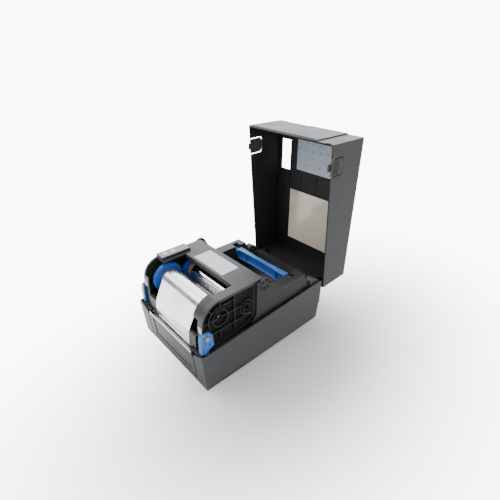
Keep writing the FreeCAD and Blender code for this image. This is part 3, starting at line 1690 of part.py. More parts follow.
# Control panel on the module's left top plate
def make_control_panel():
    left, right = -d.panel_left, -d.panel_right
    top = d.panel_top - d.panel_skin
    wall = d.skin / 2
    shell_outer = block((left, right), (d.panel_front, d.panel_rear), (d.module_top, top))
    shell = softened(shell_outer, d.cover_edge_radius, lambda e: runs_along(e, "z"))
    inside = block((left + wall, right - wall), (d.panel_front + wall, d.panel_rear - wall),
                   (d.module_top - wall, top - wall))
    button_spots = [(-d.button_x, y) for y in (d.button_first_y, d.button_second_y)]
    lamp_spots = [(-d.button_x, d.lamp_first_y + d.lamp_pitch * step) for step in range(3)]
    hole = d.button_radius + d.loose_gap
    openings = [rod("z", spot, (d.module_top, d.panel_top + 1), hole) for spot in button_spots]
    openings += [
        rod("z", spot, (d.module_top, d.panel_top + 1), d.lamp_radius) for spot in lamp_spots
    ]
    node("panel_housing", cut(shell, inside, *openings))
    rim_gap = d.skin / 2
    sheet_plate = softened(
        block((left + rim_gap, right - rim_gap), (d.panel_front + rim_gap, d.panel_rear - rim_gap),
              (top, d.panel_top)),
        d.cover_edge_radius / 2, lambda e: runs_along(e, "z"),
    )
    node("panel_overlay", cut(sheet_plate, *openings))
    lamps = [rod("z", spot, (top - wall, d.panel_top), d.lamp_radius) for spot in lamp_spots]
    node("status_lamps", *lamps)
    board = block((left + 2 * wall, right - 2 * wall),
                  (d.panel_front + 2 * wall, d.panel_rear - 2 * wall),
                  (d.module_top, d.module_top + d.ceramic_thick))
    bottom = d.panel_top + d.button_proud - d.button_depth
    switches = [
        rod("z", spot, (d.module_top + d.ceramic_thick / 2, bottom - d.button_travel),
            d.lamp_radius)
        for spot in button_spots
    ]
    node("panel_board", join(board, *switches))
    for name, spot in zip(("feed_button", "pause_button"), button_spots):
        cap = rod("z", spot, (bottom, d.panel_top + d.button_proud), d.button_radius)
        cap = softened(cap, d.panel_skin, lambda e: e.CenterOfMass.z > SIZES["panel_top"])
        flange_top = d.panel_top - d.panel_skin - wall - d.loose_gap
        flange = rod("z", spot, (bottom, flange_top), d.button_radius + wall)
        node(name, join(cap, flange))


def make_labels():
    top = d.module_top
    notice = block((-d.label_left, d.label_right), (d.label_front, d.label_rear),
                   (top, top + d.sheet_thick))
    sticker = block(
        (d.right_face_end + d.rib_thick, d.module_half - d.rib_thick),
        (face_y - d.sheet_thick, face_y), (d.sticker_low, d.sticker_high),
    )
    node("module_labels", notice, *both(sticker))


# Paper drive: frame, platen, gears and motor
platen = (d.platen_y, d.platen_z)
platen_pitch = d.gear_module * d.platen_teeth / 2
idler_pitch = d.gear_module * d.idler_teeth / 2
pinion_pitch = d.gear_module * d.pinion_teeth / 2
idler_apart = place("idler_apart", platen_pitch + idler_pitch + 2 * d.running_gap)
idler = (place("idler_y", d.platen_y + idler_apart * cosine(d.gear_line_angle)),
         place("idler_z", d.platen_z - idler_apart * sine(d.gear_line_angle)))
pinion_apart = place("pinion_apart", idler_pitch + pinion_pitch + 2 * d.running_gap)
motor = (place("motor_y", idler[0] + pinion_apart * cosine(d.gear_line_angle)),
         place("motor_z", idler[1] - pinion_apart * sine(d.gear_line_angle)))
frame_out = place("frame_out", d.frame_half + d.frame_thick)
gear_out = place("gear_out", d.gear_inner + d.gear_width)
case_floor = place("case_floor", d.foot_height + d.wall)
bed_under = place("bed_under", d.bed_top - d.bed_thick)


def drive_gear(centre, pitch_radius, teeth, bore, phase):
    tip = pitch_radius + d.gear_module * 0.8
    foot = pitch_radius - d.gear_module * 1.1
    return toothed_wheel(centre, (-gear_out, -d.gear_inner), tip, foot, teeth, 0.6, bore, phase)


def make_paper_drive():
    side = block((-frame_out, -d.frame_half), (d.frame_front, d.frame_rear),
                 (case_floor, d.frame_top))
    base = block((-d.frame_half - d.frame_thick / 2, d.frame_half + d.frame_thick / 2),
                 (motor[0] - d.motor_side / 2, d.frame_rear),
                 (case_floor, case_floor + d.frame_thick))
    boss = d.motor_side / 4
    bushing_holes = rod("x", platen, (-frame_out, frame_out), d.bushing_radius)
    motor_hole = rod("x", motor, (-frame_out - 1, -d.frame_half + 1), boss)
    idler_hole = rod("x", idler, (-frame_out - 1, -d.frame_half + 1), d.lever_shaft_radius)
    frame = cut(join(*both(side), base), bushing_holes, motor_hole, idler_hole)
    node("print_frame", frame)

    shaft_end = gear_out + d.side_gap
    node("platen_shaft", rod("x", platen, (-shaft_end, frame_out + d.bushing_length),
                             d.platen_shaft_radius))
    node("platen_roller", tube("x", platen, (-d.platen_half, d.platen_half), d.platen_radius,
                               d.platen_shaft_radius))
    sleeve = tube("x", platen, (d.frame_half, frame_out + d.frame_thick), d.bushing_radius,
                  d.platen_shaft_radius + d.running_gap)
    collar = tube("x", platen, (d.frame_half - d.frame_thick, d.frame_half),
                  d.bushing_radius + d.frame_thick / 2, d.platen_shaft_radius + d.running_gap)
    node("platen_bushings", *both(join(sleeve, collar)))

    line = d.gear_line_angle
    node("platen_gear", drive_gear(platen, platen_pitch, d.platen_teeth, d.platen_shaft_radius,
                                   -line))
    node("idler_gear", drive_gear(idler, idler_pitch, d.idler_teeth,
                                  d.lever_shaft_radius + d.running_gap,
                                  180 - line + 180 / d.idler_teeth))
    pinion = drive_gear(motor, pinion_pitch, d.pinion_teeth, d.motor_shaft_radius, 180 - line)
    pin_head = gear_out + d.side_gap / 2
    PINS.append(join(
        rod("x", idler, (-pin_head - d.side_gap, -d.frame_half), d.lever_shaft_radius),
        rod("x", idler, (-pin_head - d.side_gap, -pin_head), d.lever_shaft_radius * 1.6),
    ))

    half = d.motor_side / 2
    inner_end = -d.frame_half + d.motor_length
    can = block((-d.frame_half, inner_end), (motor[0] - half, motor[0] + half),
                (motor[1] - half, motor[1] + half))
    can = softened(can, d.cover_edge_radius * 2, lambda e: runs_along(e, "x"))
    pilot = rod("x", motor, (-frame_out, -d.frame_half), boss)
    shaft_room = rod("x", motor, (-frame_out - 1, inner_end - d.wall),
                     d.motor_shaft_radius + d.running_gap)
    bands = cut(
        block((-d.frame_half + 3 * d.wall, inner_end - 3 * d.wall),
              (motor[0] - half, motor[0] + half), (motor[1] - half, motor[1] + half)),
        block((-d.frame_half, inner_end), (motor[0] - half + 1, motor[0] + half - 1),
              (motor[1] - half + 1, motor[1] + half - 1)),
    )
    node("stepper_motor", cut(join(can, pilot), shaft_room, bands))
    shaft_span = (-gear_out - d.side_gap, inner_end - d.wall * 1.2)
    node("motor_pinion", join(pinion, rod("x", motor, shaft_span, d.motor_shaft_radius)))


# Paper bed with a pair of guides that a rack and pinion keeps centred
rack_line = d.gear_module * d.guide_pinion_teeth / 2
RACK_TEETH = 16


def rack(side):
    """Rack bar under the bed with square teeth on the side of the pinion."""
    pitch = math.pi * d.gear_module
    reach = d.guide_rest + d.guide_thick
    back = d.guide_centre_y + side * (rack_line + d.gear_module * 1.2)
    far = back + side * d.rack_side
    tooth_end = d.guide_centre_y + side * (rack_line - d.gear_module * 0.6)
    low, high = bed_under - d.rack_side - d.loose_gap, bed_under - d.loose_gap

    def ordered(one, two):
        return (one, two) if side > 0 else (two, one)

    start = -pitch * 2
    bars = [block(ordered(side * start, side * reach), ordered(back, far), (low, high))]
    for number in range(RACK_TEETH):
        centre = side * (start + pitch * (number + 0.5))
        bars.append(block((centre - pitch / 6, centre + pitch / 6),
                          ordered(tooth_end, back + side * d.running_gap), (low, high)))
    stem_high = d.bed_top + d.guide_thick / 2
    bars.append(block(ordered(side * d.guide_rest, side * reach), ordered(back, far),
                      (low, stem_high)))
    upright_low = d.bed_top + d.running_gap
    bars.append(block(
        ordered(side * d.guide_rest, side * reach),
        (d.guide_centre_y - d.guide_length / 2, d.guide_centre_y + d.guide_length / 2),
        (upright_low, upright_low + d.guide_height),
    ))
    return join(*bars)


def make_paper_bed():
    gap = d.loose_gap
    plate = block((-d.frame_half, d.frame_half), (d.bed_front, bay_wall_front),
                  (bed_under, d.bed_top))
    reach = d.guide_rest + d.guide_thick
    back = rack_line + d.gear_module * 1.2
    slots = [
        block((d.guide_rest - d.guide_travel - gap, reach + gap),
              (d.guide_centre_y + back - gap, d.guide_centre_y + back + d.rack_side + gap),
              (bed_under - 1, d.bed_top + 1)),
        block((-reach - gap, -d.guide_rest + d.guide_travel + gap),
              (d.guide_centre_y - back - d.rack_side - gap, d.guide_centre_y - back + gap),
              (bed_under - 1, d.bed_top + 1)),
    ]
    sensor_hole = block((-d.sensor_side / 4, d.sensor_side / 4),
                        (d.frame_rear - 1.5 * d.sensor_side, d.frame_rear - d.sensor_side),
                        (bed_under - 1, d.bed_top + 1))
    pivot = (Size(0.0), d.guide_centre_y)
    pin = rod("z", pivot, (bed_under - d.rack_side - 2 * gap, bed_under + gap), d.screw_radius)
    node("paper_bed", join(cut(plate, *slots, sensor_hole), pin))
    sensor = block((-d.sensor_side / 2, d.sensor_side / 2),
                   (d.frame_rear - 1.75 * d.sensor_side, d.frame_rear - 0.75 * d.sensor_side),
                   (bed_under - d.sensor_side / 2, bed_under))
    node("media_sensor", sensor)
    node("media_guide_right", rack(1))
    node("media_guide_left", rack(-1))
    low = bed_under - d.rack_side - gap
    wheel = toothed_wheel(
        pivot, (low, bed_under - gap), rack_line + d.gear_module * 0.6,
        rack_line - d.gear_module, d.guide_pinion_teeth, 0.5, d.screw_radius + d.running_gap,
        Size(90.0), axis="z",
    )
    node("guide_pinion", wheel)


# Electronics and the sockets at the rear
def make_electronics():
    plate = block((-d.board_left, d.board_right), (d.board_front, d.board_rear),
                  (d.board_bottom, board_top))
    holes = [rod("z", spot, (0, board_top + 1), d.screw_radius) for spot in stand_spots()]

    def on_board(x, y, width, length, height):
        return block((x - width / 2, x + width / 2), (y - length / 2, y + length / 2),
                     (board_top, board_top + height))

    row = (d.board_front + d.board_rear) / 2 - d.board_row
    memory = (d.memory_width, d.memory_length, d.memory_height)
    parts = [
        on_board(d.processor_x, row, d.processor_side, d.processor_side, d.processor_height),
        on_board(d.memory_x, row, *memory),
        on_board(d.memory_x + d.memory_pitch, row, *memory),
        on_board(d.coil_x, row, d.coil_width, d.coil_length, d.coil_height),
        on_board(d.processor_x, row - d.processor_side, d.header_width, d.header_length,
                 d.header_height),
    ]
    for step in range(3):
        spot = (d.capacitor_x + d.capacitor_pitch * step, row + 2 * d.board_row)
        parts.append(rod("z", spot, (board_top, board_top + d.capacitor_height),
                         d.capacitor_radius))
    node("main_board", join(cut(plate, *holes), *parts))

    rear = d.case_depth - d.socket_rear_gap
    data_ports = []
    for name, (x, width, height) in SOCKET_SIZES.items():
        body = block((x - width / 2, x + width / 2), (rear - d.socket_length, rear),
                     (board_top, board_top + height))
        wall = d.skin / 2
        if name == "power_inlet":
            spot = (x, board_top + height / 2)
            depth = (rear - d.socket_length / 2, rear + 1)
            bore = rod("y", spot, depth, height / 3)
            pin = rod("y", spot, (rear - d.socket_length / 2 - 1, rear - wall), d.screw_radius * 0.7)
            node(name, join(cut(body, bore), pin))
            continue
        room = block((x - width / 2 + wall, x + width / 2 - wall),
                     (rear - d.socket_length / 2, rear + 1),
                     (board_top + wall, board_top + height - wall))
        tongue = block((x - width / 4, x + width / 4),
                       (rear - d.socket_length / 2 - 1, rear - wall),
                       (board_top + height / 2 - wall / 2, board_top + height / 2 + wall / 2))
        data_ports.append(join(cut(body, room), tongue))
    node("data_ports", *data_ports)


def tilted(y, z):
    """A point of the rocker turned about its pivot to the angle at which it rests."""
    angle = d.rocker_tilt
    return (
        rocker_axis[0] + y * cosine(angle) - z * sine(angle),
        rocker_axis[1] + y * sine(angle) + z * cosine(angle),
    )


rocker_axis = (place("rocker_axis_y", d.case_depth - d.wall), d.rocker_z)


def make_switch():
    gap = d.loose_gap
    side, rise = d.rocker_half + gap, d.rocker_half_height + 2 * gap
    x = -d.rocker_x
    lip = d.skin
    body = block(switch_width, (d.case_depth - d.rocker_depth, d.case_depth), switch_height)
    flange = block((switch_width[0] - lip, switch_width[1] + lip),
                   (d.case_depth, d.case_depth + d.side_gap),
                   (switch_height[0] - lip, switch_height[1] + lip))
    room = block((x - side, x + side),
                 (d.case_depth - d.rocker_depth + d.skin, d.case_depth + d.skin),
                 (d.rocker_z - rise, d.rocker_z + rise))
    pin_hole = rod("x", rocker_axis, (x - side - 1, x + side + 1), d.screw_radius + d.running_gap)
    node("switch_frame", cut(join(body, flange), room, pin_hole))
    high = d.rocker_half_height
    rocker = slab("x", (x - d.rocker_half, x + d.rocker_half), [
        tilted(-d.wall, -high * 0.8), tilted(d.wall + 1, -high), tilted(d.wall - 0.4, Size(0.0)),
        tilted(d.wall + 1, high), tilted(-d.wall, high * 0.8), tilted(-d.wall * 1.6, Size(0.0)),
    ])
    pin = rod("x", rocker_axis, (x - side - 0.8, x + side + 0.8), d.screw_radius)
    node("power_rocker", join(rocker, pin))


# Cover, drawn shut
def cover_front(z):
    """How far back the shut cover's front face stands at a height."""
    rise = z - (d.rim_front + d.parting_gap)
    return d.cover_set_back * rise / (d.cover_top_front - d.rim_front - d.parting_gap)


def make_cover():
    plate = d.face_plate_thick
    low_front, low_rear = d.rim_front + d.parting_gap, rim(d.case_depth) + d.parting_gap
    outer = slab("x", (-half_width, half_width), [
        (plate, low_front),
        (d.cover_set_back + plate, d.cover_top_front),
        (d.case_depth, d.cover_top_rear),
        (d.case_depth, low_rear),
    ])
    outer = softened(outer, d.cover_edge_radius,
                     lambda e: runs_along(e, "y") and e.CenterOfMass.z > SIZES["arm_top"])
    front_in = plate + d.cover_front_wall
    below = deck_bottom
    inner = slab("x", (-inner_half, inner_half), [
        (front_in + cover_front(below), below),
        (d.cover_set_back + front_in, cover_top(d.cover_set_back + front_in) - d.wall),
        (rear_inner, cover_top(rear_inner) - d.wall),
        (rear_inner, below),
    ])
    panel_hole = block((-d.panel_hole_left, -d.panel_hole_right),
                       (d.panel_hole_front, d.panel_hole_rear),
                       (d.arm_top, d.cover_top_front + 1))
    view = block((-d.view_left, d.view_right), (d.view_front, d.view_rear),
                 (d.arm_top, d.cover_top_front + 1))
    notch = block((d.keeper_notch, half_width - 2 * d.wall), (-d.wall, front_in + d.wall),
                  (below, low_front + d.wall * 2))
    shell = cut(outer, inner, panel_hole, view, notch, *both(latch_hole()))

    corner_front = d.cover_set_back + front_in - d.running_gap * 4
    corner_top = cover_top(d.cover_set_back)
    corner = slab("x", (-d.scoop_left - d.wall, -d.scoop_right + d.wall), [
        (corner_front, corner_top - d.wall / 2),
        (corner_front, corner_top - 4 * d.wall),
        (corner_front + 3 * d.wall, corner_top - d.wall / 2),
    ])
    half_rib = d.cover_rib_thick / 2
    rib_places = (-d.pocket_rib_left, -d.pocket_rib_middle, d.pocket_rib_right,
                  d.view_right - half_rib)
    ribs = [cover_rib((x - half_rib, x + half_rib), d.pocket_front, d.pocket_rear)
            for x in rib_places]
    ribs.append(cover_rib((-d.view_left, d.view_right), d.ledge_front, d.pocket_front))
    ribs.append(cover_rib((-d.view_left, d.view_right), d.pocket_rear, d.view_front))
    # The outer of the two ribs beside the panel stops short of the hub disc
    hub_clear = d.module_pivot_y - d.hub_radius - 2 * d.side_gap
    for x, rear in (
        (-d.panel_hole_right, d.view_rear),
        (-d.panel_hole_left - d.cover_rib_thick, hub_clear),
    ):
        ribs.append(cover_rib((x, x + d.cover_rib_thick), d.panel_hole_front, rear))
    full = join(shell, corner, *ribs, *both(hinge_arm()))
    node("cover_shell", cut(full, scoop()), on_cover=True)

    face = slab("x", (-half_width, d.face_plate_right), [
        (0, low_front + d.wall / 3),
        (d.cover_set_back, d.cover_top_front),
        (d.cover_set_back + plate, d.cover_top_front),
        (plate, low_front),
        (d.wall / 3, low_front),
    ])
    groove_low, groove_high = low_front + d.face_groove_low, low_front + d.face_groove_high
    groove = slab("x", (-half_width + 3 * d.wall, d.face_plate_right - 2 * d.wall), [
        (cover_front(groove_low) - 1, groove_low),
        (cover_front(groove_high) - 1, groove_high),
        (cover_front(groove_high) + d.face_groove_depth, groove_high),
        (cover_front(groove_low) + d.face_groove_depth, groove_low),
    ])
    node("cover_face_plate", cut(face, scoop(), groove), on_cover=True)

    thick = d.wall * 0.8
    pane = slab("x", (-d.view_left, d.view_right), [
        (d.view_front, cover_top(d.view_front) - thick),
        (d.view_front, cover_top(d.view_front)),
        (d.view_rear, cover_top(d.view_rear)),
        (d.view_rear, cover_top(d.view_rear) - thick),
    ])
    node("cover_window", pane, on_cover=True)
    label_x = (-d.view_right, d.note_half)
    under = [cover_top(y) - d.wall for y in (d.note_front, d.note_rear)]
    node("cover_label", slab("x", label_x, [
        (d.note_front, under[0]), (d.note_rear, under[1]),
        (d.note_rear, under[1] - d.sheet_thick), (d.note_front, under[0] - d.sheet_thick),
    ]), on_cover=True)


def scoop():
    """Finger notch in the top front edge."""
    corner = d.cover_top_front
    rear = d.cover_set_back + d.scoop_run
    return slab("x", (-d.scoop_left, -d.scoop_right), [
        (-d.wall, corner + d.wall),
        (-d.wall, corner - d.scoop_drop),
        (d.cover_set_back, corner - d.scoop_depth),
        (rear, corner),
        (rear, corner + d.wall),
    ])


def cover_rib(span, front, rear):
    """A shallow rib under the cover's top."""
    into = d.wall / 2
    return slab("x", span, [
        (front, cover_top(front) - d.wall + into),
        (rear, cover_top(rear) - d.wall + into),
        (rear, cover_top(rear) - d.wall - d.cover_rib_depth),
        (front, cover_top(front) - d.wall - d.cover_rib_depth),
    ])


def hinge_arm():
    """Arm inside the rear wall, with a ring round the hinge pin."""
    span = (d.arm_inner, d.arm_inner + d.arm_width)
    ring = rod("x", (hinge_y, hinge_z), span, d.arm_ring_radius)
    arm = slab("x", span, [
        (hinge_y - d.arm_ring_radius, hinge_z),
        (hinge_y - d.arm_ring_radius + d.side_gap, d.arm_top - d.wall * 3),
        (rear_inner + d.wall / 2, d.arm_top + d.wall * 2),
        (rear_inner + d.wall / 2, rim(d.case_depth) + d.side_gap),
        (rear_inner - d.loose_gap, rim(d.case_depth)),
        (hinge_y + d.arm_ring_radius, hinge_z),
    ])
    bore = rod("x", (hinge_y, hinge_z), span, d.hinge_pin_radius + d.running_gap)
    return cut(join(ring, arm), bore)


def tab_outline(gap):
    """Side view of a latch tab, grown by a gap on every free edge."""
    front, rear, top = d.latch_front - gap, d.latch_rear + gap, d.latch_top + gap
    corner = d.latch_corner
    small = corner * 0.3
    return [
        (front, rim(front) + d.parting_gap - gap * 4),
        (rear, rim(rear) + d.parting_gap - gap * 4),
        (rear, top - corner),
        Via(rear - small, top - small),
        (rear - corner, top),
        (front + corner, top),
        Via(front + small, top - small),
        (front, top - corner),
    ]


def latch_hole():
    return slab("x", (inner_half - d.wall, half_width + d.wall), tab_outline(d.latch_slot))


def make_latches():
    thick_from, thick_to = inner_half, half_width
    tab = slab("x", (thick_from, thick_to), tab_outline(Size(0.0)))
    middle = (thick_from + thick_to) / 2
    neck_y = (d.hook_front, d.hook_rear)
    neck_top = d.latch_top + d.latch_slot
    neck = slab("y", neck_y, [
        (thick_from, d.latch_top - d.side_gap), (thick_to, d.latch_top - d.side_gap),
        (thick_to, neck_top - d.loose_gap), (middle, neck_top), (thick_from, neck_top - d.loose_gap),
    ])
    grips = [
        block((thick_to - d.grip_depth, thick_to + 1),
              (d.latch_front + d.wall, d.latch_rear - d.wall),
              (rim(d.latch_rear) + d.wall * 2 + d.grip_pitch * step,
               rim(d.latch_rear) + d.wall * 2 + d.grip_pitch * (step + 0.5)))
        for step in range(int(SIZES["grip_count"]))
    ]
    lean = d.side_gap * 0.4
    foot = d.rim_front + d.hook_drop
    hook_back = thick_from - d.hook_thick
    hook = slab("y", neck_y, [
        (thick_from + lean / 2, d.hook_root),
        (thick_from + lean / 2, foot),
        (thick_from - lean, foot - d.side_gap),
        (thick_from - lean, deck_top_clear),
        (hook_back, deck_top_clear),
        (hook_back - lean, d.rim_front + d.side_gap),
        (hook_back - lean, d.hook_root),
    ])
    latch = cut(join(tab, neck, hook), *grips)
    node("cover_latch_left", mirrored(latch), on_cover=True)
    node("cover_latch_right", latch, on_cover=True)


deck_top_clear = place("deck_top_clear", d.deck_top + d.parting_gap)


def make_hinge_pins():
    hump_high = d.arm_inner + d.arm_width + d.side_gap + d.hump_width
    head_low = d.arm_inner - d.side_gap * 1.5
    pin = join(
        rod("x", (hinge_y, hinge_z), (head_low, hump_high), d.hinge_pin_radius),
        rod("x", (hinge_y, hinge_z), (head_low, d.arm_inner - d.loose_gap),
            d.hinge_pin_radius + d.side_gap),
    )
    PINS.extend(both(pin))


make_case_pieces()
make_front_panel()
make_inner_housing()
make_label_spindle()
make_module_frame()
make_bars_and_screws()
make_levers()
make_spools()
make_ribbon()
make_print_head()
make_control_panel()
make_labels()
make_paper_drive()
make_paper_bed()
make_electronics()
make_switch()
make_cover()
make_latches()
make_hinge_pins()
node("steel_pins", *PINS)

# The origin is under the middle of the printer as it stands with its cover open
open_reach = place("open_reach", (
    hinge_y + (d.case_depth - hinge_y) * cosine(d.open_angle)
    + (d.cover_top_rear - hinge_z) * sine(d.open_angle)
))
centre_y = place("centre_y", open_reach / 2)
cover_y = place("cover_y", (
    hinge_y - hinge_y * cosine(d.open_angle) - hinge_z * sine(d.open_angle) - centre_y
))
cover_z = place("cover_z", (
    hinge_z + hinge_y * sine(d.open_angle) - hinge_z * cosine(d.open_angle)
))
for piece, on_cover in NODES.values():
    if on_cover:
        piece.Placement = Placement(
            Vector(0, cover_y.value, cover_z.value),
            Rotation(Vector(1, 0, 0), -d.open_angle.value),
        )
        piece.setExpression("Placement.Rotation.Angle", "-" + d.open_angle.formula)
        bind(piece, "Placement.Base.y", cover_y)
        bind(piece, "Placement.Base.z", cover_z)
    else:
        piece.Placement = Placement(Vector(0, -centre_y.value, 0), Rotation())
        bind(piece, "Placement.Base.y", -centre_y)

doc.recompute()
failed = [thing.Name for thing in doc.Objects if "Invalid" in thing.State or "Error" in thing.State]
if failed:
    raise RuntimeError("not rebuilt: " + ", ".join(failed))
os.makedirs("parts", exist_ok=True)
for label, (piece, on_cover) in NODES.items():
    shape = piece.Shape
    if shape.isNull() or not shape.isValid():
        raise RuntimeError("bad shape: " + label)
    shape.exportStep(os.path.join("parts", label + ".step"))
    print("{:22s} {:9.0f} mm3 in {} solid(s)".format(label, shape.Volume, len(shape.Solids)))
print(len(NODES), "nodes")
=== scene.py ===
# %% [markdown]
# # A thermal transfer label printer with its cover open
# This lesson dresses a desktop label printer whose mechanical parts are already modelled.
# Those parts arrive as a fixed frame: every casing, gear and lever has its true size and
# place. Blender adds what a maker's drawing leaves out: softened edges, moulded plastic,
# wrinkled foil, stickers, and the light of a small photo studio.

import json
import math

import bmesh
import bpy
from mathutils import Matrix, Vector, noise

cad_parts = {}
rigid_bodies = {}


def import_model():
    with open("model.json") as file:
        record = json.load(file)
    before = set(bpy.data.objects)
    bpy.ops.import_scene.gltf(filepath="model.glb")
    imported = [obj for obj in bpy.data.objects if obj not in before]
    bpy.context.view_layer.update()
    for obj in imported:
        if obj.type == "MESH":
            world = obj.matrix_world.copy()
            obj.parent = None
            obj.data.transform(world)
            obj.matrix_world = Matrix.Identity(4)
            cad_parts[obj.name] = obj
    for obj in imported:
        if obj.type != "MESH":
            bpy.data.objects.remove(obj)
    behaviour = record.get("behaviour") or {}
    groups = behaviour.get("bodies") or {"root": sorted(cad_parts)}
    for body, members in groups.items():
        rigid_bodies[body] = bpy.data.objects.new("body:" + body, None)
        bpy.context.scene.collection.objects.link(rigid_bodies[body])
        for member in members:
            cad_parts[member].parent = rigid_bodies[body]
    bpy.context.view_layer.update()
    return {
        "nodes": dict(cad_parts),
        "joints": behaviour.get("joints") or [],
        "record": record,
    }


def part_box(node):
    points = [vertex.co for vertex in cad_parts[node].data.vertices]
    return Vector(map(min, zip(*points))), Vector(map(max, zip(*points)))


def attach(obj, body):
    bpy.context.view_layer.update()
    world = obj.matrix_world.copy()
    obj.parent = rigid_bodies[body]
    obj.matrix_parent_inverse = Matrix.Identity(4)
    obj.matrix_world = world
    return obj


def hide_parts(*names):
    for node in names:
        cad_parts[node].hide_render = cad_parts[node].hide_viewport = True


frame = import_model()


# %% [markdown]
# ## Measuring from the printer itself
# A maker measures from an edge that can be touched. Here that is the front top edge of the
# lower case, the middle of its width, and the table. One small function turns those
# millimetres into Blender's metres. A second one does the same for the cover: it takes a
# point as it lies on the shut cover and swings it up about the hinge to where it rests.

# %% Places in millimetres
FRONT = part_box("lower_case")[0][1]
HINGE = next(joint for joint in frame["joints"] if joint["name"] == "cover_hinge")
COVER_TURN = Matrix.Rotation(math.radians(HINGE["range_deg"][0]), 4, "X")


def spot(x, y, z):
    """A point given in millimetres from the middle, the front edge and the table."""
    return Vector((x / 1000, FRONT + y / 1000, z / 1000))


def cover_spot(x, y, z):
    """A point of the shut cover, swung to where the open cover holds it."""
    pivot = Vector(HINGE["pos_m"])
    return pivot + COVER_TURN @ (spot(x, y, z) - pivot)


BODY_OF = {
    node: body
    for body, nodes in frame["record"]["behaviour"]["bodies"].items()
    for node in nodes
}
print("front edge at y =", round(FRONT, 4), "- nodes with a body:", len(BODY_OF))

# %% [markdown]
# ## The camera
# The camera stands in front and to the right, a little above the open cover, and rolls by
# half a degree. Its three directions come from two angles and that roll, which is easier to
# read and to change than a table of nine numbers. The lens suits the 36 mm sensor that
# Blender gives a new camera.

# %% Camera
AZIMUTH, ELEVATION, ROLL = (math.radians(angle) for angle in (47.534, 29.886, 0.559))
camera_data = bpy.data.cameras.new("camera")
camera_data.lens = 25.725
camera_data.clip_start = 0.02
camera = bpy.data.objects.new("camera", camera_data)
bpy.context.scene.collection.objects.link(camera)
back = Vector((
    math.sin(AZIMUTH) * math.cos(ELEVATION),
    -math.cos(AZIMUTH) * math.cos(ELEVATION),
    math.sin(ELEVATION),
))
level = Vector((math.cos(AZIMUTH), math.sin(AZIMUTH), 0))
above = back.cross(level)
right = level * math.cos(ROLL) + above * math.sin(ROLL)
up = above * math.cos(ROLL) - level * math.sin(ROLL)
camera.matrix_world = Matrix.Translation((0.46558, -0.42208, 0.53075)) @ Matrix(
    (right, up, back)
).transposed().to_4x4()
bpy.context.scene.camera = camera
print("camera stands at", tuple(round(number, 3) for number in camera.location))

# %% [markdown]
# ## Studio
# A product table is a pale sheet that runs off behind the object, lit from large soft
# boxes. A plane and three area lights are enough. The key light hangs on the left, so that
# the front of the case and the top of the raised cover catch it and the right side stays
# darker. The walls are the world's background. It is very bright where the camera, a shiny
# surface or the window looks at it, and much dimmer as a source of fill light: that keeps
# the plastic dark against a white wall, as in an exposure made for the dark object.

# %% Floor and lights
def studio_floor():
    half = 60.0
    mesh = bpy.data.meshes.new("studio_floor")
    mesh.from_pydata(
        [(-half, -half, 0), (half, -half, 0), (half, half, 0), (-half, half, 0)],
        [], [(0, 1, 2, 3)],
    )
    floor = bpy.data.objects.new("studio_floor", mesh)
    bpy.context.scene.collection.objects.link(floor)
    return floor


def soft_box(name, place, aim, size, power, tint=(1.0, 1.0, 1.0)):
    """An area light that looks from one point to another."""
    data = bpy.data.lights.new(name, "AREA")
    data.shape = "RECTANGLE"
    data.size, data.size_y = size
    data.energy = power
    data.color = tint
    lamp = bpy.data.objects.new(name, data)
    lamp.location = place
    lamp.rotation_euler = (Vector(aim) - Vector(place)).to_track_quat("-Z", "Y").to_euler()
    bpy.context.scene.collection.objects.link(lamp)
    return lamp


floor = studio_floor()
soft_box("key_light", (-0.9, -0.9, 1.5), (0, 0, 0.1), (1.2, 1.2), 17.0)
soft_box("top_light", (0.1, 0.5, 1.9), (0, 0, 0), (1.6, 1.6), 14.0)
soft_box("side_light", (1.7, -0.2, 0.8), (0, 0, 0.15), (0.9, 0.9), 3.5)

# %% [markdown]
# ## Shared surface effects
# Most of a printer is moulded plastic: under a lens it has a fine spark-eroded grain, broad
# faint clouds where the melt cooled, and a little dust. The same three effects serve every
# plastic, so they are one node group with named inputs. Metal gets a second group that
# stretches noise into lines. A group only puts out masks and heights; each material keeps
# its own shader, and sets its own amounts.

# %% Node group helpers
def new_group(name, inputs, outputs):
    """A shader node group with number sockets: {name: default} in, names out."""
    group = bpy.data.node_groups.new(name, "ShaderNodeTree")
    for socket, value in inputs.items():
        made = group.interface.new_socket(socket, in_out="INPUT", socket_type="NodeSocketFloat")
        made.default_value = value
    for socket in outputs:
        group.interface.new_socket(socket, in_out="OUTPUT", socket_type="NodeSocketFloat")
    return group, group.nodes.new("NodeGroupInput"), group.nodes.new("NodeGroupOutput")


def add(tree, kind, settings=None, values=None):
    """A node with its settings and its unlinked inputs filled in."""
    node = tree.nodes.new(kind)
    for key, value in (settings or {}).items():
        setattr(node, key, value)
    for key, value in (values or {}).items():
        node.inputs[key].default_value = value
    return node


def wire(tree, *pairs):
    for source, target in pairs:
        tree.links.new(source, target)


def combined(tree, operation, first, second=0.0):
    """Two values, or a value and a number, put through one operation."""
    node = add(tree, "ShaderNodeMath", {"operation": operation})
    for index, value in enumerate((first, second)):
        if isinstance(value, (int, float)):
            node.inputs[index].default_value = value
        else:
            wire(tree, (value, node.inputs[index]))
    return node.outputs["Value"]


def along(tree, axis, scale=1.0, shift=0.0):
    """Object coordinate along one axis, times a scale and shifted."""
    where = add(tree, "ShaderNodeTexCoord")
    parts = add(tree, "ShaderNodeSeparateXYZ")
    scaled = add(tree, "ShaderNodeMath", {"operation": "MULTIPLY_ADD"})
    scaled.inputs[1].default_value = scale
    scaled.inputs[2].default_value = shift
    wire(tree, (where.outputs["Object"], parts.inputs["Vector"]),
         (parts.outputs[axis], scaled.inputs[0]))
    return scaled.outputs["Value"]


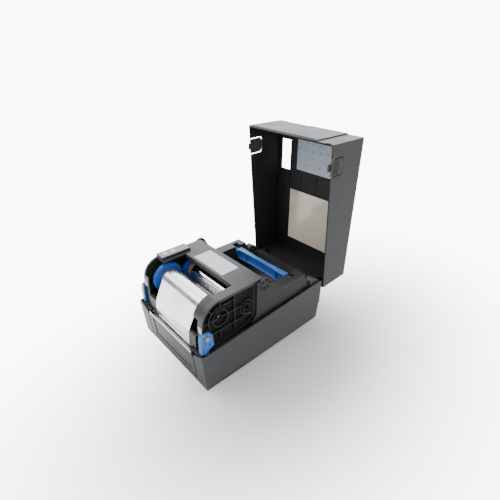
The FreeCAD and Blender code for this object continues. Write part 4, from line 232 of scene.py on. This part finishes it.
def spanned(tree, value, low, high, source=(0.3, 0.7), curve="LINEAR"):
    """A mask brought from one range of numbers to another."""
    ranged = add(tree, "ShaderNodeMapRange", {"interpolation_type": curve}, {
        "From Min": source[0], "From Max": source[1], "To Min": low, "To Max": high,
    })
    wire(tree, (value, ranged.inputs["Value"]))
    return ranged.outputs["Result"]


def by_ray(tree, direct, mirrored, scattered):
    """What the camera sees, what mirror images show, and what gives fill light."""
    path = add(tree, "ShaderNodeLightPath")
    seen = combined(tree, "MULTIPLY", path.outputs["Is Camera Ray"],
                    combined(tree, "SUBTRACT", direct, mirrored))
    fill = combined(tree, "MULTIPLY", path.outputs["Is Diffuse Ray"],
                    combined(tree, "SUBTRACT", scattered, mirrored))
    return combined(tree, "ADD", combined(tree, "ADD", seen, fill), mirrored)


# %% Group for moulded plastic
def moulded_group():
    """Grain height, cloud mask and dust mask of a moulded surface."""
    group, given, result = new_group(
        "moulded_surface", {"Grain Scale": 2600.0, "Cloud Scale": 24.0},
        ("Height", "Clouds", "Dust"),
    )
    where = add(group, "ShaderNodeTexCoord")
    grain = add(group, "ShaderNodeTexNoise", None, {"Detail": 2.0, "Roughness": 0.6})
    clouds = add(group, "ShaderNodeTexNoise", None, {"Detail": 4.0, "Roughness": 0.55})
    dust = add(group, "ShaderNodeTexNoise", None, {"Scale": 420.0, "Detail": 3.0})
    specks = add(group, "ShaderNodeMapRange", None,
                 {"From Min": 0.62, "From Max": 0.78, "To Min": 0.0, "To Max": 1.0})
    wire(
        group,
        (where.outputs["Object"], grain.inputs["Vector"]),
        (where.outputs["Object"], clouds.inputs["Vector"]),
        (where.outputs["Object"], dust.inputs["Vector"]),
        (given.outputs["Grain Scale"], grain.inputs["Scale"]),
        (given.outputs["Cloud Scale"], clouds.inputs["Scale"]),
        (grain.outputs["Fac"], result.inputs["Height"]),
        (clouds.outputs["Fac"], result.inputs["Clouds"]),
        (dust.outputs["Fac"], specks.inputs["Value"]),
        (specks.outputs["Result"], result.inputs["Dust"]),
    )
    return group


# %% Group for lines drawn out along one direction
def drawn_group():
    """Fine lines along X, as on rolled steel, ground rods and stretched foil."""
    group, given, result = new_group(
        "drawn_lines", {"Along X": 20.0, "Across": 1800.0}, ("Lines", "Clouds"),
    )
    where = add(group, "ShaderNodeTexCoord")
    stretch = add(group, "ShaderNodeCombineXYZ")
    scaled = add(group, "ShaderNodeVectorMath", {"operation": "MULTIPLY"})
    lines = add(group, "ShaderNodeTexNoise", None, {"Scale": 1.0, "Detail": 3.0})
    clouds = add(group, "ShaderNodeTexNoise", None, {"Scale": 30.0, "Detail": 2.0})
    wire(
        group,
        (given.outputs["Along X"], stretch.inputs["X"]),
        (given.outputs["Across"], stretch.inputs["Y"]),
        (given.outputs["Across"], stretch.inputs["Z"]),
        (where.outputs["Object"], scaled.inputs[0]),
        (stretch.outputs["Vector"], scaled.inputs[1]),
        (scaled.outputs["Vector"], lines.inputs["Vector"]),
        (where.outputs["Object"], clouds.inputs["Vector"]),
        (lines.outputs["Fac"], result.inputs["Lines"]),
        (clouds.outputs["Fac"], result.inputs["Clouds"]),
    )
    return group


MOULDED = moulded_group()
DRAWN = drawn_group()
print("groups:", [group.name for group in (MOULDED, DRAWN)])

# %% [markdown]
# ## Materials
# Each finish is mixed from two close shades by the clouds of its group, so that no surface
# is one flat colour. The grain goes to a Bump node, and the clouds also set the roughness. What
# is the same all over, such as metallic or coat, is typed straight into the shader. Shades
# are linear numbers, which look darker than the same numbers in a paint program.

# %% Mixing a finish
def mixed(tree, mask, first, second):
    """Two colours mixed by a mask; gives back the colour output."""
    mix = add(tree, "ShaderNodeMix", {"data_type": "RGBA"})
    mix.inputs[6].default_value = (*first, 1)
    mix.inputs[7].default_value = (*second, 1)
    wire(tree, (mask, mix.inputs["Factor"]))
    return mix.outputs[2]


def start_material(name, constants):
    """A new material with its shader's even properties set."""
    material = bpy.data.materials.new(name)
    material.use_nodes = True
    shader = material.node_tree.nodes["Principled BSDF"]
    for socket, value in constants.items():
        shader.inputs[socket].default_value = value
    return material, material.node_tree, shader


def bumped(tree, shader, height, strength, distance):
    bump = add(tree, "ShaderNodeBump", None, {"Strength": strength, "Distance": distance})
    wire(tree, (height, bump.inputs["Height"]), (bump.outputs["Normal"], shader.inputs["Normal"]))


def moulded(name, dark, light, rough, grain=2600.0, depth=0.25, zones=(), **constants):
    """Moulded plastic: two shades, a range of roughness, and the size of its grain.

    Each zone names an attribute of the mesh, and the colour and roughness where it is 1.
    The zones carry painted shade in hollows and a painted highlight on rib tips.
    """
    material, tree, shader = start_material(name, constants)
    surface = add(tree, "ShaderNodeGroup", {"node_tree": MOULDED},
                  {"Grain Scale": grain, "Cloud Scale": 24.0})
    clouded = mixed(tree, spanned(tree, surface.outputs["Clouds"], 0.0, 1.0), dark, light)
    dusty = add(tree, "ShaderNodeMix", {"data_type": "RGBA"})
    dusty.inputs[7].default_value = (*(min(1.0, part * 1.5 + 0.012) for part in light), 1)
    wire(
        tree,
        (spanned(tree, surface.outputs["Dust"], 0.0, 0.35, (0, 1)), dusty.inputs["Factor"]),
        (clouded, dusty.inputs[6]),
    )
    colour, roughness = dusty.outputs[2], spanned(tree, surface.outputs["Clouds"], *rough)
    # Each zone paints light or shade into the colour: darker where shade falls, lighter as a
    # highlight.
    for attribute, zone_colour, zone_rough in zones:
        mark = add(tree, "ShaderNodeAttribute", {"attribute_name": attribute})
        tinted = add(tree, "ShaderNodeMix", {"data_type": "RGBA"})
        tinted.inputs[7].default_value = (*zone_colour, 1)
        rougher = add(tree, "ShaderNodeMix", {"data_type": "FLOAT"})
        rougher.inputs[3].default_value = zone_rough
        wire(
            tree,
            (mark.outputs["Fac"], tinted.inputs["Factor"]), (colour, tinted.inputs[6]),
            (mark.outputs["Fac"], rougher.inputs["Factor"]), (roughness, rougher.inputs[2]),
        )
        colour, roughness = tinted.outputs[2], rougher.outputs[0]
    wire(tree, (colour, shader.inputs["Base Color"]), (roughness, shader.inputs["Roughness"]))
    bumped(tree, shader, surface.outputs["Height"], depth, 0.0002)
    return material


def drawn(name, dark, light, rough, along=20.0, across=1800.0, depth=0.1, **constants):
    """Metal or foil with fine lines along X."""
    material, tree, shader = start_material(name, {"Metallic": 1.0, **constants})
    surface = add(tree, "ShaderNodeGroup", {"node_tree": DRAWN},
                  {"Along X": along, "Across": across})
    wire(
        tree,
        (mixed(tree, spanned(tree, surface.outputs["Lines"], 0.0, 1.0), dark, light),
         shader.inputs["Base Color"]),
        (spanned(tree, surface.outputs["Clouds"], *rough), shader.inputs["Roughness"]),
    )
    bumped(tree, shader, surface.outputs["Lines"], depth, 0.0002)
    return material


# %% Plastics
# Zones darken the colour as painted shade inside the cover, in the recesses between the module's
# ribs and in the hub's holes, and lighten the module's rib tips as a painted highlight.
FINISH = {
    "casing": moulded("charcoal_casing", (0.040, 0.041, 0.043), (0.048, 0.049, 0.051),
                      (0.40, 0.50), grain=2200.0, depth=0.35,
                      zones=[("painted_shade", (0.008, 0.008, 0.0085), 0.8)]),
    "housing": moulded("black_housing", (0.016, 0.016, 0.017), (0.022, 0.022, 0.023),
                       (0.42, 0.55), grain=2200.0, depth=0.3,
                       zones=[("painted_shade", (0.004, 0.004, 0.0045), 0.85)]),
    "module": moulded("module_plastic", (0.026, 0.026, 0.027), (0.034, 0.034, 0.035),
                      (0.36, 0.48), grain=2200.0, depth=0.3,
                      zones=[("painted_shade", (0.004, 0.004, 0.004), 0.9),
                             ("painted_highlight", (0.035, 0.035, 0.036), 0.4)]),
    "blue_gear": moulded("blue_nylon", (0.010, 0.095, 0.42), (0.018, 0.13, 0.52),
                         (0.30, 0.42), grain=1500.0, depth=0.12),
    "blue_lever": moulded("blue_lever_plastic", (0.035, 0.15, 0.48), (0.05, 0.19, 0.58),
                          (0.34, 0.46), grain=1800.0, depth=0.15),
    "white_gear": moulded("natural_nylon", (0.60, 0.60, 0.56), (0.72, 0.72, 0.68),
                          (0.35, 0.45), grain=1500.0, depth=0.1),
    "button": moulded("button_white", (0.74, 0.76, 0.77), (0.82, 0.84, 0.85), (0.35, 0.45),
                      grain=1500.0, depth=0.1),
    "black_gloss": moulded("glossy_black", (0.006, 0.006, 0.007), (0.010, 0.010, 0.011),
                           (0.16, 0.26), grain=1500.0, depth=0.06),
    "rubber": moulded("black_rubber", (0.010, 0.010, 0.011), (0.018, 0.018, 0.018),
                      (0.7, 0.85), grain=900.0, depth=0.4),
    "paint": moulded("motor_paint", (0.012, 0.012, 0.013), (0.02, 0.02, 0.021),
                     (0.35, 0.5), grain=1200.0, depth=0.25),
    "card": moulded("spool_card", (0.42, 0.24, 0.11), (0.52, 0.32, 0.16), (0.7, 0.85),
                    grain=700.0, depth=0.35),
    "ceramic": moulded("glazed_ceramic", (0.62, 0.58, 0.5), (0.7, 0.67, 0.6), (0.12, 0.2),
                       grain=900.0, depth=0.04),
}

# %% Metals and foil
FINISH["steel"] = drawn("plated_steel", (0.50, 0.51, 0.53), (0.66, 0.67, 0.69), (0.22, 0.36))
FINISH["pin"] = drawn("ground_pin", (0.44, 0.45, 0.47), (0.62, 0.63, 0.65), (0.14, 0.24),
                      across=900.0)
FINISH["aluminium"] = drawn("drawn_aluminium", (0.62, 0.63, 0.65), (0.78, 0.79, 0.80),
                            (0.28, 0.42))
FINISH["foil"] = drawn("silver_foil", (0.72, 0.73, 0.76), (0.82, 0.83, 0.85), (0.20, 0.32),
                       along=60.0, across=90.0, depth=0.05)
FINISH["mirror_foil"] = drawn("tight_foil", (0.66, 0.67, 0.70), (0.78, 0.79, 0.82),
                              (0.07, 0.13), along=8.0, across=400.0, depth=0.04)
FINISH["brass_screw"] = drawn("yellow_zinc", (0.72, 0.46, 0.20), (0.86, 0.62, 0.33),
                              (0.2, 0.34))
print("finishes so far:", sorted(FINISH))

# %% [markdown]
# ## Clear and printed finishes
# The window in the cover is a smoked sheet: it lets a pale warm light through, and its
# tint shifts in soft clouds. Labels are paper with a faint print.
# The print is only a pattern of soft bars and lines made from waves and noise; it carries
# no words. The floor gets a breath of mottling, so that it isn't one flat white.

# %% Smoked window
def smoked_sheet():
    material, tree, shader = start_material("smoked_window", {
        "Metallic": 0.0, "IOR": 1.49, "Transmission Weight": 0.35,
    })
    surface = add(tree, "ShaderNodeGroup", {"node_tree": MOULDED},
                  {"Grain Scale": 900.0, "Cloud Scale": 9.0})
    wire(
        tree,
        (mixed(tree, spanned(tree, surface.outputs["Clouds"], 0.0, 1.0),
               (0.50, 0.45, 0.36), (0.56, 0.51, 0.42)), shader.inputs["Base Color"]),
        (spanned(tree, surface.outputs["Clouds"], 0.10, 0.2), shader.inputs["Roughness"]),
    )
    bumped(tree, shader, surface.outputs["Height"], 0.04, 0.0002)
    return material


# %% Paper with a faint print
def printed_paper(name, paper, ink, axes, scales, strength):
    """Paper whose print is rows of soft dashes, broken up by noise."""
    material, tree, shader = start_material(name, {"Metallic": 0.0})
    across, down = (along(tree, axis, scale) for axis, scale in zip(axes, scales))
    rows = combined(tree, "GREATER_THAN", combined(tree, "FRACT", down, 0), 0.55)
    columns = combined(tree, "GREATER_THAN", combined(tree, "FRACT", across, 0), 0.35)
    where = add(tree, "ShaderNodeTexCoord")
    words = add(tree, "ShaderNodeTexNoise", None, {"Scale": 150.0, "Detail": 3.0})
    wire(tree, (where.outputs["Object"], words.inputs["Vector"]))
    broken = spanned(tree, words.outputs["Fac"], 0.0, 1.0, (0.47, 0.56))
    mask = combined(tree, "MULTIPLY", combined(tree, "MULTIPLY", rows, columns), broken)
    surface = add(tree, "ShaderNodeGroup", {"node_tree": MOULDED},
                  {"Grain Scale": 1500.0, "Cloud Scale": 30.0})
    wire(
        tree,
        (mixed(tree, combined(tree, "MULTIPLY", mask, strength), paper, ink),
         shader.inputs["Base Color"]),
        (spanned(tree, surface.outputs["Clouds"], 0.45, 0.6), shader.inputs["Roughness"]),
    )
    bumped(tree, shader, surface.outputs["Height"], 0.08, 0.0002)
    return material


FINISH["window"] = smoked_sheet()
FINISH["cover_label"] = printed_paper(
    "cover_label_paper", (0.50, 0.55, 0.62), (0.18, 0.36, 0.62), ("X", "Z"), (55.0, 62.0), 0.7,
)
FINISH["notice"] = printed_paper(
    "notice_paper", (0.80, 0.82, 0.86), (0.42, 0.56, 0.80), ("X", "Y"), (40.0, 95.0), 0.6,
)
FINISH["sticker"] = moulded("yellow_sticker", (0.80, 0.72, 0.02), (0.86, 0.80, 0.05),
                            (0.4, 0.5), grain=1200.0, depth=0.05)
FINISH["overlay"] = moulded("panel_overlay_film", (0.16, 0.21, 0.22), (0.20, 0.26, 0.27),
                            (0.30, 0.40), grain=1500.0, depth=0.12)
FINISH["lamp"] = moulded("lamp_lens", (0.36, 0.40, 0.37), (0.44, 0.49, 0.45), (0.15, 0.25),
                         grain=900.0, depth=0.03)
FINISH["board"] = moulded("board_green", (0.01, 0.075, 0.03), (0.014, 0.10, 0.04),
                          (0.28, 0.4), grain=500.0, depth=0.2)
print("all finishes:", len(FINISH))

# %% [markdown]
# ## White paper and white walls
# The paper glows a little where the camera looks at it, more and more with the distance
# from the printer's right side, so that it runs into the white of the walls without a horizon.
# The glow fades toward that side, which paints a soft shadow there; close to the case it is
# plain paper, and there the real shadows show as well. Mirror images get their own brightness:
# the paper to the left of the printer glows for them as painted light, and with the wall
# behind it on the left it draws the highlights on foil and plastic.

# %% Floor and walls
# Middle and size of the painted shadow on the paper, right of the printer.
SHADE_MIDDLE = spot(150, 170, 0)
SHADE_SIZE = (0.16, 0.26)
BRIGHT_WALL = (-0.639, 0.585, 0.498)
GREY_WALL = (-0.60, -0.79, 0.12)


def studio_paper():
    material, tree, shader = start_material("studio_paper", {"Metallic": 0.0})
    surface = add(tree, "ShaderNodeGroup", {"node_tree": MOULDED},
                  {"Grain Scale": 300.0, "Cloud Scale": 3.0})
    across, back_along = (
        along(tree, axis, 1 / size, -place / size)
        for axis, size, place in zip("XY", SHADE_SIZE, SHADE_MIDDLE)
    )
    distance = combined(tree, "SQRT", combined(
        tree, "ADD", combined(tree, "MULTIPLY", across, across),
        combined(tree, "MULTIPLY", back_along, back_along),
    ))
    # Painted shadow: the camera-ray glow stays low near the printer's right side and rises away
    # from it.
    seen = spanned(tree, distance, 0.0, 9.0, (0.35, 3.2), "SMOOTHSTEP")
    # Painted light: the paper to the left of the printer glows only for mirror rays.
    mirrored = spanned(tree, along(tree, "X"), 2.8, 0.0, (-0.25, 0.08), "SMOOTHSTEP")
    wire(
        tree,
        (mixed(tree, surface.outputs["Clouds"], (0.78, 0.78, 0.775), (0.80, 0.80, 0.795)),
         shader.inputs["Base Color"]),
        (spanned(tree, surface.outputs["Clouds"], 0.5, 0.6), shader.inputs["Roughness"]),
        (by_ray(tree, seen, mirrored, 0.0), shader.inputs["Emission Strength"]),
    )
    shader.inputs["Emission Color"].default_value = (1, 1, 0.99, 1)
    bumped(tree, shader, surface.outputs["Height"], 0.02, 0.0002)
    return material


def lobe(tree, ray, towards, low, high, start):
    """A soft spot of brightness on the walls, round one direction."""
    facing = add(tree, "ShaderNodeVectorMath", {"operation": "DOT_PRODUCT"})
    facing.inputs[1].default_value = Vector(towards).normalized()
    wire(tree, (ray, facing.inputs[0]))
    return spanned(tree, facing.outputs["Value"], low, high, (start, 1.0), "SMOOTHSTEP")


def studio_walls():
    world = bpy.data.worlds.new("studio_walls")
    world.use_nodes = True
    tree = world.node_tree
    ray = add(tree, "ShaderNodeTexCoord").outputs["Generated"]
    mirrored = combined(tree, "MULTIPLY", lobe(tree, ray, BRIGHT_WALL, 0.8, 4.2, 0.55),
                        lobe(tree, ray, GREY_WALL, 1.0, 0.45, 0.7))
    sky = tree.nodes["Background"]
    sky.inputs["Color"].default_value = (0.97, 0.98, 1.0, 1)
    wire(tree, (by_ray(tree, 11.0, mirrored, 0.85), sky.inputs["Strength"]))
    bpy.context.scene.world = world


FINISH["floor"] = studio_paper()
floor.data.materials.append(FINISH["floor"])
studio_walls()
print("paper and walls are ready")

# %% [markdown]
# ## Softened edges
# A moulded edge is never perfectly sharp: the tool leaves a radius of a few tenths of a
# millimetre, and that thin strip is what catches the light in a photograph. The parts come
# as loose triangles, so each gets a merged copy, with flat neighbours joined back to whole
# faces. A Bevel modifier then rounds the edges that turn by more than 30 degrees, but only
# those with room for the radius: one tiny face would otherwise hold back every edge of the
# part. Weighted normals keep the broad faces flat beside their new rounded rims.

# %% Rounding a copy of a part
def merged_copy(node, width):
    """The part's mesh with whole faces, and a bevel weight on the edges with room for it."""
    mesh = frame["nodes"][node].data.copy()
    shape = bmesh.new()
    shape.from_mesh(mesh)
    bmesh.ops.remove_doubles(shape, verts=shape.verts, dist=2e-6)
    bmesh.ops.dissolve_degenerate(shape, edges=shape.edges, dist=1e-6)
    bmesh.ops.dissolve_limit(
        shape, angle_limit=math.radians(0.3), verts=shape.verts, edges=shape.edges,
    )
    weight = shape.edges.layers.float.new("bevel_weight_edge")
    for edge in shape.edges:
        roomy = all(other.calc_length() > 2.2 * width / 1000
                    for corner in edge.verts for other in corner.link_edges)
        turns = edge.is_manifold and edge.calc_face_angle(0) > math.radians(30)
        edge[weight] = float(roomy and turns)
    shape.to_mesh(mesh)
    shape.free()
    return mesh


def plain_mesh(thing):
    """The thing's shape after its modifiers, as a mesh of its own; the modifiers go."""
    bpy.context.view_layer.update()
    graph = bpy.context.evaluated_depsgraph_get()
    mesh = bpy.data.meshes.new_from_object(thing.evaluated_get(graph), depsgraph=graph)
    thing.modifiers.clear()
    thing.data = mesh
    return thing


def linked(name, mesh):
    thing = bpy.data.objects.new(name, mesh)
    bpy.context.scene.collection.objects.link(thing)
    return thing


def softened(node, finish, width, steps=2):
    """A copy of a part with rounded edges, which stands for the part."""
    thing = linked(node + "_finish", merged_copy(node, width))
    thing.data.materials.clear()
    thing.data.materials.append(FINISH[finish])
    thing.data.shade_smooth()
    thing.data.set_sharp_from_angle(angle=math.radians(32))
    bevel = thing.modifiers.new("edge_radius", "BEVEL")
    bevel.width = width / 1000
    bevel.segments = steps
    bevel.limit_method = "WEIGHT"
    bevel.use_clamp_overlap = True
    flat = thing.modifiers.new("flat_faces", "WEIGHTED_NORMAL")
    flat.keep_sharp = True
    plain_mesh(thing)
    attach(thing, BODY_OF[node])
    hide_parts(node)
    return thing


# %% The parts that get a rounded copy
ROUNDED = {
    "lower_case": ("casing", 0.5), "cover_shell": ("casing", 0.4),
    "cover_face_plate": ("casing", 0.35), "cover_latch_left": ("casing", 0.2),
    "cover_latch_right": ("casing", 0.2), "front_bezel": ("casing", 0.3),
    "inner_housing": ("housing", 0.3), "module_frame": ("module", 0.2),
    "panel_housing": ("housing", 0.3), "label_spindle": ("blue_lever", 0.4),
    "lever_left": ("blue_lever", 0.3), "lever_right": ("blue_lever", 0.3),
    "rewind_gear": ("blue_gear", 0.2), "supply_gear": ("blue_gear", 0.2),
    "rewind_hub": ("blue_gear", 0.3), "supply_hub": ("blue_gear", 0.3),
    "rewind_core": ("card", 0.2), "supply_core": ("card", 0.2),
    "tear_bar": ("steel", 0.1), "stepper_motor": ("paint", 0.5),
    "media_guide_left": ("blue_lever", 0.2), "media_guide_right": ("blue_lever", 0.2),
    "feed_button": ("button", 0.2), "pause_button": ("button", 0.2),
    "power_rocker": ("black_gloss", 0.3), "switch_frame": ("black_gloss", 0.3),
    "power_inlet": ("black_gloss", 0.2), "heat_sink": ("aluminium", 0.2),
    "rubber_feet": ("rubber", 0.5), "cover_window": ("window", 0.3),
}
pieces = {node: softened(node, *how) for node, how in ROUNDED.items()}


# %% Marking the faces that get painted shade or a painted highlight
def mark(thing, name, test):
    """Stores 1 on the faces whose middle, in millimetres, and normal pass a test, else 0."""
    faces = thing.data.polygons
    layer = thing.data.attributes.new(name, "FLOAT", "FACE")
    marks = [float(test(*printer_place(face.center), face.normal)) for face in faces]
    layer.data.foreach_set("value", marks)
    return int(sum(marks))


def printer_place(point):
    return point.x * 1000, (point.y - FRONT) * 1000, point.z * 1000


def shut_place(point):
    """Where a point of the open cover lies when the cover is shut, in millimetres."""
    pivot = Vector(HINGE["pos_m"])
    return printer_place(pivot + COVER_TURN.inverted() @ (point - pivot))


# Faces inside the cover get painted shade: the hollow of the cover is darkened in its colour.
def inside_cover(x, y, z, normal):
    x, y, z = shut_place(spot(x, y, z))
    return abs(x) < 105.3 and y < 310 and z < 178 - y / 77 and y > 3.4 + (z - 84) / 25


# Faces in these recesses get painted shade: their colour is darkened where the ribs shade them.
def in_side_recess(x, y, z, normal):
    """Between the ribs on the outside of the module's side walls."""
    behind_tips = 88.2 < abs(x) < 94.7
    out_of_rim = math.hypot(y - 50.4, z - 135) > 38.4 and y < 50.4
    return behind_tips and not out_of_rim and z < 173.5 and y > 11.7


# Rib tip faces get a painted highlight: a lighter, glossier colour where the edges catch light.
def on_rib_tip(x, y, z, normal):
    return 94.7 < abs(x) < 95.0 and abs(normal.x) > 0.9


# Faces in the hub's holes and cup get painted shade: their colour is darkened as if in shadow.
def in_hub_holes(x, y, z, normal):
    """Inside the ring of holes and the cup in a hub disc."""
    return 99.0 < abs(x) < 100.4 and math.hypot(y - 148, z - 160.5) < 12.5


print("marked faces:", {
    "cover": mark(pieces["cover_shell"], "painted_shade", inside_cover),
    "recess": mark(pieces["module_frame"], "painted_shade", in_side_recess),
    "tips": mark(pieces["module_frame"], "painted_highlight", on_rib_tip),
    "hub": mark(pieces["inner_housing"], "painted_shade", in_hub_holes),
})
faces = {node: len(thing.data.polygons) for node, thing in pieces.items()}
print("rounded copies:", len(pieces), "largest:", max(faces.items(), key=lambda item: item[1]))

# %% [markdown]
# ## Parts that keep their own shape
# Shafts, springs' seats, gears inside the case and other parts that are right as they are
# only change their material. The part's object keeps its mesh and its place.

# %% Finishes of the remaining parts
KEPT = {
    "steel_pins": "pin", "case_screws": "pin", "print_frame": "steel",
    "platen_bushings": "white_gear", "paper_bed": "housing", "media_sensor": "black_gloss",
    "main_board": "board", "data_ports": "steel", "ribbon_guide_bars": "pin",
    "lever_screws": "brass_screw", "ribbon_web": "foil", "print_head": "ceramic",
    "head_bracket": "steel", "head_springs": "pin", "panel_overlay": "overlay",
    "status_lamps": "lamp", "panel_board": "board", "module_labels": "notice",
    "cover_label": "cover_label", "rewind_shaft": "pin", "rewind_film": "foil",
    "rewind_drive_gear": "white_gear", "supply_shaft": "pin", "supply_film": "mirror_foil",
    "platen_shaft": "pin", "platen_roller": "rubber", "platen_gear": "white_gear",
    "idler_gear": "white_gear", "motor_pinion": "pin", "guide_pinion": "white_gear",
}


def refinish(node, finish):
    thing = frame["nodes"][node]
    thing.data.materials.clear()
    thing.data.materials.append(FINISH[finish])


for node, finish in KEPT.items():
    refinish(node, finish)
print("parts without a finish:", sorted(set(frame["nodes"]) - set(KEPT) - set(ROUNDED)))
